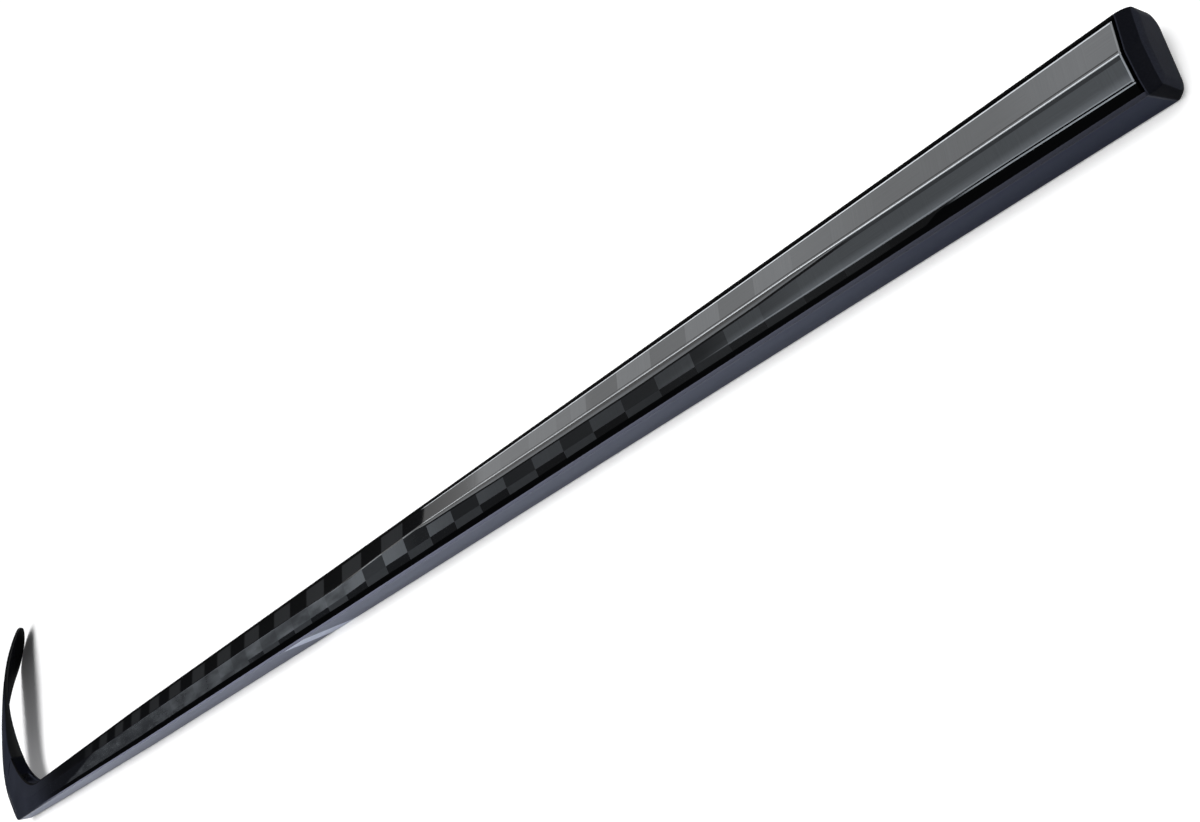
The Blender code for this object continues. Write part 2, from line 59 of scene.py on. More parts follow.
# Shaft section
SHAFT_WIDTH = 30.6 * MM
SHAFT_BACK = 10.4 * MM
SHAFT_SHOULDER = 9.3 * MM
SPINE_RISE = 2.9 * MM
CORNER_RADIUS = 2.3 * MM
BACK_RADIUS = 2.6 * MM         # the two edges of the forehand side
LEAST_RADIUS = 0.3 * MM
SHAFT_WALL = 2.0 * MM
LOWER_FACET_SLOPE = radians(7.5)
HEEL_EDGE_SHARE = 0.45         # of the toe-side edge's radius, for the sharper heel-side one
HEEL_EDGE_TUCK = 0.25 * MM     # the heel-side edge is set in by this much
TAPER_START = 450.0 * MM
TIP_WIDTH = 24.8 * MM
TIP_THICKNESS = 0.90
FACET_EDGE = 0.35 * MM         # rounding of the lines between the backhand facets
HOLD = 0.25 * MM               # width of the flat strip kept beside each rounding
END_CHAMFER = 0.35 * MM        # at the shaft's cut end

# Lines between the backhand facets, as (x, Y) in millimetres on the full width
RIDGE_LINE = ((320, 2.4), (734, 2.5), (830, 1.9), (890, 1.2), (950, 3.0), (1010, 3.9),
              (1072, 3.6), (1154, 2.8), (1268, 2.3), (1334, 2.3), (1374, 1.8), (1433, 1.2),
              (1485, 0.85))
LAND_FOOT = ((320, 1.6), (734, 1.7), (830, 1.1), (890, 0.4), (950, 2.2), (1002, 3.0),
             (1014, 2.0), (1050, 1.5), (1096, 0.4), (1154, -0.1), (1224, -0.8), (1268, -0.6),
             (1310, -0.4), (1334, 0.3), (1362, 1.05), (1374, 0.9), (1433, 0.3), (1485, -0.05))
BEVEL_LINE = ((320, -6.5), (900, -6.5), (955, -5.2), (1060, -5.8), (1130, -6.7), (1200, -7.4),
              (1260, -7.9), (1370, -8.6), (1440, -8.8), (1490, -9.4))

# Fused joint and hosel
JOINT_X = 255.0 * MM
FAN_X = 128.0 * MM
HOSEL_WALL = 2.2 * MM
ROOT_WALL = 1.3 * MM
ROOT_CROWN_RADIUS = 20.0 * MM  # soft lines between the facets where the blade begins
ROOT_CROWN_AT = 0.55           # where those lines lie, as a share of the root's half width
ROOT_LAND = 0.08               # half the flat between them, as the same share

# Butt cap
CAP_LENGTH = 7.0 * MM
CAP_LEAN = 3.2 * MM
CAP_RIM_DRAW = 1.2 * MM
CAP_DOME = 1.2 * MM
CAP_CROWN = 0.999              # height of the dome's middle, as a share of the cap's length
CAP_DOME_DRAW = 3.4 * MM
CAP_TOP_RADIUS = 4.0 * MM
CAP_BACK_RADIUS = 6.5 * MM
CAP_STEM = 42.0 * MM
CAP_WALL = 2.2 * MM
CAP_FLOOR = 6.0 * MM
STEM_LEAD = 4.0 * MM
STEM_RELIEF = 0.8 * MM

# Blade
LIE = radians(134.4)
BLADE_LENGTH = 323.5 * MM
ROOT_LENGTH = 42.0 * MM
HEEL_HEIGHT = 55.2 * MM
BLADE_HEIGHT = 66.2 * MM
FULL_HEIGHT_AT = 190.0 * MM
ROCKER = 2.9 * MM
TOE_DEPTH = 40.1 * MM
TOE_CENTRE = 0.46
TOE_POWER = 2.2
TOE_CORE = 8.0 * MM            # length of the toe's innermost outline
HEEL_RADIUS = 18.0 * MM
CROTCH_RADIUS = 130.0 * MM
ROOT_RADIUS = 1.2 * MM
CURVE_RATE = radians(28.1)
CURVE_HOOK = radians(1.2)
FACE_OPEN = radians(1.7)
OPEN_LENGTH = 70.0 * MM
ROOT_THICKNESS = 9.4 * MM
HEEL_SWELL = 3.7 * MM
SWELL_END = 145.0 * MM
TOE_THICKNESS = 5.8 * MM
EDGE_THINNING = 0.34
THINNING_POWER = 3             # how late towards an edge the thinning sets in
TOE_THINNING = 60.0 * MM
SKIN = 1.0 * MM
EDGE_BAND = 5.0 * MM
BAND_ROUND = 0.3 * MM
EDGE_ROUND = 0.9 * MM          # rounding of the blade's painted edges

# Camera, in the stick's own frame
CAMERA_AT = Vector((1.688466, -0.178630, 0.412431))
CAMERA_RIGHT = Vector((0.548290, -0.261916, -0.794215))
CAMERA_DOWN = Vector((-0.372837, -0.926644, 0.048198))
CAMERA_LENS = 41.965           # in millimetres, as the sensor's width is
SENSOR_WIDTH = 36.0
NEAREST_SEEN = 0.01

# Resolution
CORNER_STEPS = 8
LINE_STEPS = 3
TUBE_RINGS = 150
CAP_RINGS = 9                  # on the dome, and again on the side
PATH_STEPS = 16
STRAIGHT_RINGS = 10            # on the hosel before its turn
HOSEL_RINGS = 90               # in its turn
CURVE_POINTS = 401
EDGE_STEPS = 70
TOE_STEPS = 60
ROUND_STEPS = 5
WELD = 0.001 * MM
SHARP_EDGE = radians(35.0)
CAP_SHARP_EDGE = radians(28.0)
BAND_SHARP_EDGE = radians(50.0)


def smoothstep(low, high, value):
    t = min(max((value - low) / (high - low), 0.0), 1.0)
    return t * t * (3.0 - 2.0 * t)


def mix(a, b, t):
    return a + (b - a) * t


# How the stick lies, from the mount on the shaft's flat forehand face

MOUNT_X = 900.0 * MM
forehand = next(m for m in frame["record"]["mounts"] if m["name"] == "shaft_forehand_face")
roll = Matrix.Rotation(atan2(forehand["axis"][1], -forehand["axis"][2]), 4, "X")
mount_in_stick = Vector((MOUNT_X, 0.0, -SHAFT_BACK))
pose = Matrix.Translation(Vector(forehand["pos_m"]) - roll @ mount_in_stick) @ roll


# Shaft section

# The section's corners by number. A place round the section counts the same way: a whole number
# is a corner, and what lies between two numbers is the flat between those corners.
FOREHAND_HEEL, HEEL_EDGE, BEVEL, FOOT, RIDGE, TOE_EDGE, FOREHAND_TOE = range(7)
CORNERS = 10
OUTER_CORNERS = (FOREHAND_HEEL, HEEL_EDGE, TOE_EDGE, FOREHAND_TOE)
FACET_LINES = (BEVEL, FOOT, RIDGE)
ROUNDING = 0.1                 # a corner's rounding reaches this far to either side of its place
HOLD_REACH = 0.12              # and the flat strip beside the rounding this far
PLACE_SLACK = 0.001


def shaft_corners(x):
    """Corners of the section at x, clockwise from the lower heel-side one, in Y and Z."""
    t = min(max(x / TAPER_START, 0.0), 1.0)
    half = mix(TIP_WIDTH, SHAFT_WIDTH, t) / 2.0
    thin = mix(TIP_THICKNESS, 1.0, t)
    across = half / (SHAFT_WIDTH / 2.0)
    back, shoulder = SHAFT_BACK * thin, SHAFT_SHOULDER * thin
    crest = shoulder + SPINE_RISE * thin
    ridge, foot, line = (float(np.interp(x / MM, *zip(*stops))) * MM * across
                         for stops in (RIDGE_LINE, LAND_FOOT, BEVEL_LINE))
    line_height = crest - (foot - line) * tan(LOWER_FACET_SLOPE)
    return [(-half, -back), (-half + HEEL_EDGE_TUCK, shoulder), (line, line_height),
            (foot, crest), (ridge, crest), (half, shoulder), (half, -back),
            (half / 2.0, -back), (0.0, -back), (-half / 2.0, -back)]


def inset_corners(corners, depth):
    """Move every side of a convex outline inwards by depth."""
    result = []
    for i, (y, z) in enumerate(corners):
        before, after = corners[i - 1], corners[(i + 1) % len(corners)]
        one = Vector((y - before[0], z - before[1])).normalized()
        two = Vector((after[0] - y, after[1] - z)).normalized()
        n1, n2 = Vector((one.y, -one.x)), Vector((two.y, -two.x))
        shift = (n1 + n2) * (depth / (1.0 + n1.dot(n2)))
        result.append((y + shift.x, z + shift.y))
    return result


def turned(arm, angle):
    """A vector in the plane, turned by an angle."""
    return Vector((arm.x * cos(angle) - arm.y * sin(angle),
                   arm.x * sin(angle) + arm.y * cos(angle)))


def round_corners(corners, heel, top, back, line):
    """The outline with its edges and facet lines rounded, as (point, place round the section)."""
    points = []
    for i, corner in enumerate(corners):
        here = Vector(corner)
        to_before = (Vector(corners[i - 1]) - here).normalized()
        to_after = (Vector(corners[(i + 1) % len(corners)]) - here).normalized()
        if i in OUTER_CORNERS:
            radius, steps = {HEEL_EDGE: heel, TOE_EDGE: top}.get(i, back), CORNER_STEPS
        elif i in FACET_LINES:
            radius, steps = line, LINE_STEPS
        else:
            points.append((here, float(i)))
            continue
        half = to_before.angle(to_after) / 2.0
        centre = here + (to_before + to_after).normalized() * (radius / sin(half))
        start = here + to_before * (radius / tan(half)) - centre
        turn = pi - 2.0 * half
        points.append((centre + start + to_before * HOLD, i - HOLD_REACH))
        for k in range(steps + 1):
            arm = turned(start, -turn * k / steps)
            points.append((centre + arm, i + mix(-ROUNDING, ROUNDING, k / steps)))
        points.append((centre + arm + to_after * HOLD, i + HOLD_REACH))
    return points


def shaft_ring(x, depth=0.0, place=None, top=CORNER_RADIUS, back=BACK_RADIUS):
    """One ring of the shaft, inset by depth, as (point, u, place round the section)."""
    at = x if place is None else place
    heel, top, back = (max(radius - depth, LEAST_RADIUS)
                       for radius in (top * HEEL_EDGE_SHARE, top, back))
    outline = round_corners(inset_corners(shaft_corners(x), depth), heel, top, back, FACET_EDGE)
    return [(Vector((at, p.x, p.y)), at, v) for p, v in outline]


# Meshes

def face_outwards(bm):
    """Make all faces of a closed mesh face outwards."""
    bmesh.ops.recalc_face_normals(bm, faces=bm.faces)
    if bm.calc_volume(signed=True) < 0.0:
        bmesh.ops.reverse_faces(bm, faces=bm.faces)


def skin_rings(rings, ring_loop=False, around=CORNERS, finish_of=None):
    """Faces between rings of (point, u, v), with the rings' u and v as the UV map."""
    bm = bmesh.new()
    uv = bm.loops.layers.uv.new("section")
    rows = [[bm.verts.new(p) for p, _, _ in ring] for ring in rings]
    pairs = [(i, i + 1) for i in range(len(rings) - 1)]
    if ring_loop:
        pairs.append((len(rings) - 1, 0))
    for low, high in pairs:
        count = len(rows[low])
        for i in range(count):
            j = (i + 1) % count
            face = bm.faces.new((rows[low][i], rows[low][j], rows[high][j], rows[high][i]))
            for loop, (ring, k) in zip(face.loops, ((low, i), (low, j), (high, j), (high, i))):
                _, u, v = rings[ring][k]
                loop[uv].uv = (u, v + (around if k == 0 and i else 0.0))
            if finish_of is not None:
                ends = rings[low][i][2] + rings[low][j][2] + (around if j == 0 else 0.0)
                face.material_index = finish_of(ends / 2.0)
    if not ring_loop:
        for row, ring in ((rows[0], rings[0]), (rows[-1], rings[-1])):
            for loop, (_, u, v) in zip(bm.faces.new(row).loops, ring):
                loop[uv].uv = (u, v)
    face_outwards(bm)
    return bm


def make_piece(name, bm, finishes, record_slot, *stands_for, sharp=SHARP_EDGE):
    """Put a finished mesh where the stick lies, and hand it to the frame."""
    mesh = bpy.data.meshes.new(name)
    bm.transform(pose)
    bm.to_mesh(mesh)
    bm.free()
    for finish in finishes:
        mesh.materials.append(finish)
    mesh.shade_smooth()
    mesh.set_sharp_from_angle(angle=sharp)
    piece = bpy.data.objects.new(name, mesh)
    bpy.context.scene.collection.objects.link(piece)
    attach(piece, "root")
    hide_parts(*stands_for)


# Ends of the shaft tube

cap_seat = HEEL_TO_BUTT - CAP_LENGTH
tube_low, tube_high = JOINT_X + HAIRLINE, cap_seat - FIT_GAP


# Finishes

class Finish:
    """A material under construction: short calls for the nodes that the finishes share."""

    def __init__(self, name):
        self.mat = bpy.data.materials.new(name)
        self.mat.use_nodes = True
        self.tree = self.mat.node_tree
        self.shader = self.tree.nodes["Principled BSDF"]

    def node(self, kind, **settings):
        made = self.tree.nodes.new(kind)
        for key, value in settings.items():
            setattr(made, key, value)
        return made

    def link(self, source, target):
        self.tree.links.new(source, target)

    def set(self, **values):
        """Constant values on the shader's own sockets."""
        for key, value in values.items():
            self.shader.inputs[key.replace("_", " ")].default_value = value

    def drive(self, socket, source):
        """Link a source to one of the shader's sockets."""
        self.link(source, self.shader.inputs[socket])

    def feed(self, sockets, *sources):
        """Give each socket its source: a link from another node, or a plain value."""
        for socket, source in zip(sockets, sources):
            if hasattr(source, "is_output"):
                self.link(source, socket)
            else:
                socket.default_value = source

    def maths(self, operation, a, b=0.0, c=0.0):
        made = self.node("ShaderNodeMath", operation=operation)
        self.feed(made.inputs, a, b, c)
        return made.outputs[0]

    def times(self, first, *others):
        """A product; of shares, it is 1 only where every one of them is."""
        product = first
        for factor in others:
            product = self.maths("MULTIPLY", product, factor)
        return product

    def blend(self, share, a, b):
        """Number a where share is 0 and b where it is 1."""
        made = self.node("ShaderNodeMix", data_type="FLOAT")
        self.feed(made.inputs[:1] + made.inputs[2:4], share, a, b)
        return made.outputs[0]

    def blend_colours(self, share, a, b):
        """Colour a where share is 0 and b where it is 1."""
        made = self.node("ShaderNodeMix", data_type="RGBA")
        self.feed(made.inputs[:1] + made.inputs[6:8], share, a, b)
        return made.outputs[2]

    def step(self, value, low, high):
        """0 below low, 1 above high."""
        made = self.node("ShaderNodeMapRange", interpolation_type="SMOOTHSTEP")
        self.feed(made.inputs, value, low, high, 0.0, 1.0)
        return made.outputs[0]

    def strip(self, value, low, high, soft):
        """1 between low and high, 0 outside, with soft edges."""
        return self.times(self.step(value, low - soft, low), self.step(value, high + soft, high))

    def levels(self, value, *stops):
        """A number that follows (place, number) stops along value, in metres from the heel."""
        ramp = self.node("ShaderNodeValToRGB")
        points = ramp.color_ramp.elements
        while len(points) < len(stops):
            points.new(0.5)
        for point, (place, number) in zip(points, stops):
            point.position = place / HEEL_TO_BUTT
            point.color = (number, number, number, 1.0)
        self.link(self.maths("DIVIDE", value, HEEL_TO_BUTT), ramp.inputs[0])
        return ramp.outputs[0]

    def tint(self, level, colour):
        """A grey level times a colour, as a colour."""
        made = self.node("ShaderNodeVectorMath", operation="SCALE")
        self.feed((made.inputs[0], made.inputs["Scale"]), colour, level)
        return made.outputs[0]

    def noise(self, scale, detail=3.0, stretch=(1.0, 1.0, 1.0)):
        """Noise in features per metre: scale in every way, times stretch along X, Y and Z."""
        mapping = self.node("ShaderNodeMapping")
        mapping.inputs["Scale"].default_value = stretch
        self.link(self.place(), mapping.inputs["Vector"])
        made = self.node("ShaderNodeTexNoise")
        made.inputs["Scale"].default_value = scale
        made.inputs["Detail"].default_value = detail
        self.link(mapping.outputs[0], made.inputs["Vector"])
        return made.outputs[0]

    def bump(self, height, depth, strength):
        made = self.node("ShaderNodeBump")
        made.inputs["Strength"].default_value = strength
        made.inputs["Distance"].default_value = depth
        self.link(height, made.inputs["Height"])
        self.drive("Normal", made.outputs[0])

    def place(self):
        """The stick's own X, Y and Z of a point."""
        back = pose.inverted()
        mapping = self.node("ShaderNodeMapping")
        mapping.inputs["Location"].default_value = back.to_translation()
        mapping.inputs["Rotation"].default_value = back.to_euler()
        self.link(self.node("ShaderNodeTexCoord").outputs["Object"], mapping.inputs["Vector"])
        return mapping.outputs[0]

    def uv(self, uv_map):
        """The piece's UV map."""
        return self.node("ShaderNodeUVMap", uv_map=uv_map).outputs[0]

    def split(self, vector):
        """The X, Y and Z of a vector."""
        made = self.node("ShaderNodeSeparateXYZ")
        self.link(vector, made.inputs[0])
        return made.outputs


# Tints
LACQUER = (0.91, 0.97, 1.08)
LAP_LACQUER = (0.87, 0.92, 1.24)
LAMINATE = (0.85, 0.95, 1.35)
LOWER_HUE = (0.92, 1.0, 1.08, 1.0)
UPPER_HUE = (0.95, 0.995, 1.04, 1.0)
EDGE_TINT = (0.9, 0.95, 1.0)
RESIN_TINT = (0.95, 1.0, 1.05)
PLASTIC_TINT = (0.85, 0.93, 1.3)
CARBON_TINT = (0.97, 0.98, 1.0)
FOAM_TINT = (1.0, 0.97, 0.9)

# Grain, in features per metre: one number, or one each for X, Y and Z
LAMINATE_GRAIN = 30.0
EDGE_GRAIN = 900.0
RESIN_GRAIN = 700.0
PLASTIC_GRAIN = 1600.0
TWILL_GRAIN = 120.0
FOAM_CELLS = 1400.0
CLOUD_GRAIN = (30.0, 110.0, 110.0)
STREAK_GRAIN = (6.0, 120.0, 120.0)
FIBRES_ALONG = (40.0, 2500.0, 2500.0)
FIBRES_ACROSS = (2500.0, 40.0, 40.0)

# Chequers counted from the heel, as (x in metres, count / MOST_CHEQUERS) stops
MOST_CHEQUERS = 60.0
TOW_COUNT = ((0.0, 0.0167), (0.350, 0.25), (0.476, 0.3333), (0.554, 0.3833), (0.898, 0.5833),
             (1.130, 0.7167), (1.264, 0.80), (1.406, 0.90), (1.5, 0.9633))
SLIP_FROM = 1.17               # from here up, the upper facet's chequers are one further on

# Tones of each facet's chequers as (x in metres, level) stops: the dark ones, then the light ones
# These tones are partly the weave's own fade and partly painted light: their rise and fall along
# the shaft, and the step from facet to facet, stand in for the sheen and reflection each facet
# shows.
BEVEL_TONES = (
    ((0.70, 0.03), (0.93, 0.014), (1.2, 0.003), (1.27, 0.014), (1.34, 0.012), (1.39, 0.002)),
    ((0.70, 0.09), (0.93, 0.075), (1.05, 0.056), (1.2, 0.045), (1.27, 0.028), (1.34, 0.024),
     (1.39, 0.004)))
LOWER_TONES = (
    ((0.95, 0.06), (1.0, 0.019), (1.27, 0.017), (1.31, 0.055), (1.34, 0.08), (1.39, 0.084),
     (1.44, 0.09)),
    ((0.93, 0.24), (0.97, 0.21), (1.03, 0.12), (1.1, 0.072), (1.22, 0.046), (1.3, 0.07),
     (1.34, 0.084), (1.39, 0.084), (1.44, 0.09)))
UPPER_TONES = (
    ((0.10, 0.004), (0.30, 0.002), (1.02, 0.002), (1.045, 0.018), (1.065, 0.038), (1.08, 0.128),
     (1.17, 0.122), (1.19, 0.073), (1.3, 0.095), (1.337, 0.118), (1.39, 0.094), (1.44, 0.105),
     (1.475, 0.154)),
    ((0.27, 0.004), (0.36, 0.037), (0.98, 0.045), (1.02, 0.012), (1.045, 0.02), (1.07, 0.038),
     (1.08, 0.144), (1.2, 0.138), (1.27, 0.131), (1.337, 0.134), (1.39, 0.094), (1.44, 0.105),
     (1.475, 0.154)))
FOREHAND_TONES = (0.012, 0.06)
LAMINATE_TONES = (0.013, 0.031)
LAND_TONES = (0.006, 0.09)
CLOUD_TONE = ((0.30, 0.10), (0.45, 0.11), (0.62, 0.155), (0.90, 0.185))
SLANT_TONE = 0.006             # beyond the slanting end of the cloudy laminate
MARBLE = (0.32, 0.7)           # ends of the noise's range that the clouds use
MARBLE_GAINS = (0.6, 1.3)
CLOUD_GAINS = (0.88, 1.08)     # of the dark and the light chequers under the clouds
BEVEL_CLOUD_GAIN = 0.9
FIBRE_GAINS = (0.87, 1.13)
BUTT_SHEEN_GAIN = 1.9                # painted sheen of the lower facet beside the bevel near the butt end
LACQUER_TONE = 0.0028
DEEP_BLACK = 0.0005
COAT_WEAR = ((0.95, 0.2), (1.02, 0.65), (1.075, 1.0))
LAP_TONE = ((0.35, 0.21), (0.70, 0.19), (0.92, 0.175), (1.03, 0.145), (1.194, 0.11), (1.24, 0.095),
            (1.34, 0.065), (1.39, 0.05), (1.475, 0.035))

# Widths of the black lacquer and the lap, in places from the heel-side edge
BLACK_WIDTH = ((0.30, 0.58), (0.64, 0.61), (0.83, 0.59), (0.98, 0.47), (1.10, 0.49),
               (1.19, 0.515), (1.37, 0.49), (1.402, 0.52), (1.408, 0.86))
LAP_WIDTH = ((0.2, 0.17), (1.1, 0.17), (1.4, 0.19))
LAP_HIGHLIGHT_WIDTH = 0.03
LAP_GAINS = (0.95, 1.2)        # of the lap and of its painted highlight rim
WEAVE_METAL = 0.6              # how metallic the weave is; the lap over it isn't

# Stretches of the shaft, as the two ends of the fade into each, in metres
BEVEL_CLOUDS = (0.75, 0.69)
LOWER_CLOUDS = (0.912, 0.90)
LAND_STARTS = (0.99, 1.005)
BUTT_SHEEN_REACH = (1.2, 1.34)
CLOUD_LINES = ((0.33, 0.36), (0.99, 0.97))
UPPER_HALF = (1.008, 1.016)
NEAR_BUTT = (1.355, 1.375)
RIDGE_GAIN = (1.2, 1.4)
BEVEL_LIGHTS = (1.26, 1.33)
AT_BUTT = (1.41, 1.43)
TOE_EDGE_NARROWS = (1.28, 1.42)
NEAR_BLADE = (0.23, 0.08)
SLANT_RUN, SLANT_START, SLANT_FROM = 0.076, 0.215, 1.6
SLANT_FADE = (-0.004, 0.016)

# Fine lines, as (from, to, softness) in places round the section and the line's tone, or the
# two tones that it goes between along the shaft
# They are painted light: the highlights and the two edge lines are painted highlights, and the
# shades and the lines above the ridge, at the land's foot and on the land are painted shade.
CLOUD_HIGHLIGHT = (2.93, 3.4, 0.01), 1.35    # a gain here
CLOUD_SHADE = (3.5, 4.06, 0.01), 0.001
ABOVE_RIDGE_SHADE = (4.145, 4.17, 0.01), 0.02
FOOT_SHADE = (2.82, 3.0, 0.01), (0.001, 0.04)
LAND_SHADE = (3.66, 3.86, 0.01), 0.004
RIDGE_HIGHLIGHT = (3.885, 4.10, 0.01), (0.6, 0.95)
BEVEL_HIGHLIGHT = (2.12, 2.155, 0.006), 0.3
BEVEL_SHADE = (1.88, 2.12, 0.003), 0.003
HEEL_EDGE_HIGHLIGHT = (1.80, 1.875, 0.006), 0.4
TOE_EDGE_HIGHLIGHT = (4.818, 4.846, 0.004), 0.75
BUTT_LAND_TONES = (0.04, 0.5)  # the land's two halves near the butt end: painted shade on the lower, a painted highlight on the upper

# Bands and fades round the section, in places
TOE_EDGE_BLACK = (4.855, 6.0, 0.004)
TOE_EDGE_MATT = (4.84, 6.0, 0.01)
LAND_FADE = (3.65, 3.15)
LAND_MIDDLE = 3.5
BUTT_SHEEN_FADE = (2.45, 2.12)
TOE_EDGE_SHIFTS = (0.024, 0.002)
PLACE_SOFTNESS = 0.004         # of a change of tone at a corner

# The tube's cut end: a light edge, a painted highlight, then a black groove, painted shade in the
# joint, as distances from the end
CUT_EDGE_HIGHLIGHT = (1.55 * MM, 1.1 * MM, 0.12 * MM)
CUT_HIGHLIGHT_TONES = (0.35, 0.25)
END_GROOVE_SHADE = (1.0 * MM, 0.85 * MM)


def laminate_level(f):
    """Level of the smooth black laminate by the heel, the same on the hosel and the blade."""
    return f.blend(f.noise(LAMINATE_GRAIN, 4.0), *LAMINATE_TONES)


def chequer_carbon():
    """Spread-tow carbon under a clear coat: chequers on each facet, with painted highlights and
    painted shade as fine lines where they meet, and painted sheen in the facets' tones.
    """
    f = Finish("chequer_carbon")
    along, around, _ = f.split(f.uv("section"))

    def above(corner):
        return f.step(around, corner - PLACE_SOFTNESS, corner + PLACE_SOFTNESS)

    def below(corner):
        return f.step(around, corner + PLACE_SOFTNESS, corner - PLACE_SOFTNESS)

    def draw(level, fine_line, stretch, change=None):
        """The level with a fine line along a stretch, its tone changing where one is given."""
        band, tone = fine_line
        if change is not None:
            tone = f.blend(change, *tone)
        return f.blend(f.times(f.strip(around, *band), stretch), level, tone)

    # the chequers: each row is out of step with the next
    row = f.maths("FLOOR", around)
    cell = f.maths("FLOOR", f.times(f.levels(along, *TOW_COUNT), MOST_CHEQUERS))
    slip = f.times(f.maths("GREATER_THAN", around, RIDGE),
                   f.maths("GREATER_THAN", along, SLIP_FROM))
    count = f.maths("ADD", f.maths("ADD", cell, row), slip)
    light = f.maths("ABSOLUTE", f.maths("MODULO", count, 2.0))
    bevel, lower, upper = (
        f.blend(light, f.levels(along, *dark), f.levels(along, *pale))
        for dark, pale in (BEVEL_TONES, LOWER_TONES, UPPER_TONES))
    land = f.blend(f.step(around, *LAND_FADE), *LAND_TONES)

    # painted sheen: the lower facet brightens towards the bevel near the butt end
    butt_sheen = f.times(f.step(around, *BUTT_SHEEN_FADE), f.step(along, *BUTT_SHEEN_REACH))
    lower = f.times(lower, f.blend(butt_sheen, 1.0, BUTT_SHEEN_GAIN))

    # towards the heel the lower facets turn cloudy, up to a slanting end
    marble = f.step(f.noise(1.0, 4.0, CLOUD_GRAIN), *MARBLE)
    gain = f.times(f.blend(marble, *MARBLE_GAINS), f.blend(light, *CLOUD_GAINS))
    cloud = f.times(f.levels(along, *CLOUD_TONE), gain)
    lower = f.blend(f.step(along, *LOWER_CLOUDS), lower, cloud)
    bevel = f.blend(f.step(along, *BEVEL_CLOUDS), bevel, f.times(cloud, BEVEL_CLOUD_GAIN))
    level = f.blend(above(BEVEL), bevel, lower)
    level = f.blend(above(FOOT), level, f.blend(f.step(along, *LAND_STARTS), lower, land))
    up_facet = f.maths("SUBTRACT", f.maths("MINIMUM", around, FOOT), SLANT_FROM)
    slant = f.maths("SUBTRACT", along, f.maths("MULTIPLY_ADD", up_facet, SLANT_RUN, SLANT_START))
    level = f.blend(f.step(slant, *SLANT_FADE), SLANT_TONE, level)
    level = f.blend(above(RIDGE), level, upper)
    level = f.blend(above(FOREHAND_TOE), level, f.blend(light, *FOREHAND_TONES))

    # fine lines along the ridge, the land's foot and the bevel: painted highlights and painted
    # shade
    cloudy = f.times(*(f.step(along, *fade) for fade in CLOUD_LINES))
    level = f.times(level, draw(1.0, CLOUD_HIGHLIGHT, cloudy))
    level = draw(level, CLOUD_SHADE, cloudy)
    upper_half = f.step(along, *UPPER_HALF)
    near_butt = f.step(along, *NEAR_BUTT)
    at_butt = f.step(along, *AT_BUTT)
    level = draw(level, ABOVE_RIDGE_SHADE, upper_half)
    level = draw(level, FOOT_SHADE, upper_half, near_butt)
    level = draw(level, LAND_SHADE, upper_half)
    low_land_shade = f.times(above(FOOT), below(LAND_MIDDLE), near_butt)
    high_land_highlight = f.times(above(LAND_MIDDLE), below(RIDGE), near_butt)
    level = f.blend(low_land_shade, level, BUTT_LAND_TONES[0])
    level = f.blend(high_land_highlight, level, BUTT_LAND_TONES[1])
    level = draw(level, RIDGE_HIGHLIGHT, upper_half, f.step(along, *RIDGE_GAIN))
    level = draw(level, BEVEL_HIGHLIGHT, f.step(along, *BEVEL_LIGHTS))
    level = draw(level, BEVEL_SHADE, at_butt)

    # black lacquer, partly painted shade for the dark these roundings show: a band over the
    # heel-side edge, and the toe-side edge
    black_top = f.maths("ADD", HEEL_EDGE, f.levels(along, *BLACK_WIDTH))
    black = f.maths("LESS_THAN", f.maths("SUBTRACT", around, black_top), 0.0)
    level = f.blend(black, level, LACQUER_TONE)
    # a painted highlight line at the black band's top by the butt end
    level = draw(level, HEEL_EDGE_HIGHLIGHT, at_butt)
    toe_shift = f.blend(f.step(along, *TOE_EDGE_NARROWS), *TOE_EDGE_SHIFTS)
    toe_side = f.maths("ADD", around, toe_shift)
    level = f.blend(f.strip(toe_side, *TOE_EDGE_BLACK), level, DEEP_BLACK)
    # a painted highlight along the toe-side edge, inside its black
    toe_highlight_band, toe_highlight_tone = TOE_EDGE_HIGHLIGHT
    level = f.blend(f.times(f.strip(toe_side, *toe_highlight_band), upper_half), level, toe_highlight_tone)

    # the tube's cut end: a painted highlight on its edge, and painted shade in its groove
    edge_from, edge_to, edge_soft = CUT_EDGE_HIGHLIGHT
    off_black = f.step(toe_side, TOE_EDGE_BLACK[0] + PLACE_SOFTNESS,
                       TOE_EDGE_BLACK[0] - PLACE_SOFTNESS)
    cut_edge_highlight = f.times(f.strip(along, tube_high - edge_from, tube_high - edge_to, edge_soft),
                       above(BEVEL), off_black)
    level = f.blend(cut_edge_highlight, level, f.blend(above(RIDGE), *CUT_HIGHLIGHT_TONES))
    end_groove_shade = f.step(along, *(tube_high - distance for distance in END_GROOVE_SHADE))
    level = f.blend(end_groove_shade, level, DEEP_BLACK)

    # fibres, along the shaft in the dark chequers and across it in the light ones
    fibre_along = f.noise(1.0, 2.0, FIBRES_ALONG)
    fibre_across = f.noise(1.0, 2.0, FIBRES_ACROSS)
    fibre = f.blend(light, fibre_along, fibre_across)
    level = f.times(level, f.blend(fibre, *FIBRE_GAINS))
    f.bump(fibre, 0.02 * MM, 0.3)

    # the side's lacquer laps over the heel-side edge in a narrow stripe with a lighter rim, a
    # painted highlight; the stripe's tone along the shaft is partly painted reflection, as on the
    # side
    lap_end = f.maths("ADD", HEEL_EDGE, f.levels(along, *LAP_WIDTH))
    past_lap = f.maths("SUBTRACT", around, lap_end)
    lap = f.maths("LESS_THAN", past_lap, 0.0)
    lap_highlight = f.maths("GREATER_THAN", past_lap, -LAP_HIGHLIGHT_WIDTH)
    lap_tone = f.times(f.levels(along, *LAP_TONE), f.blend(lap_highlight, *LAP_GAINS))

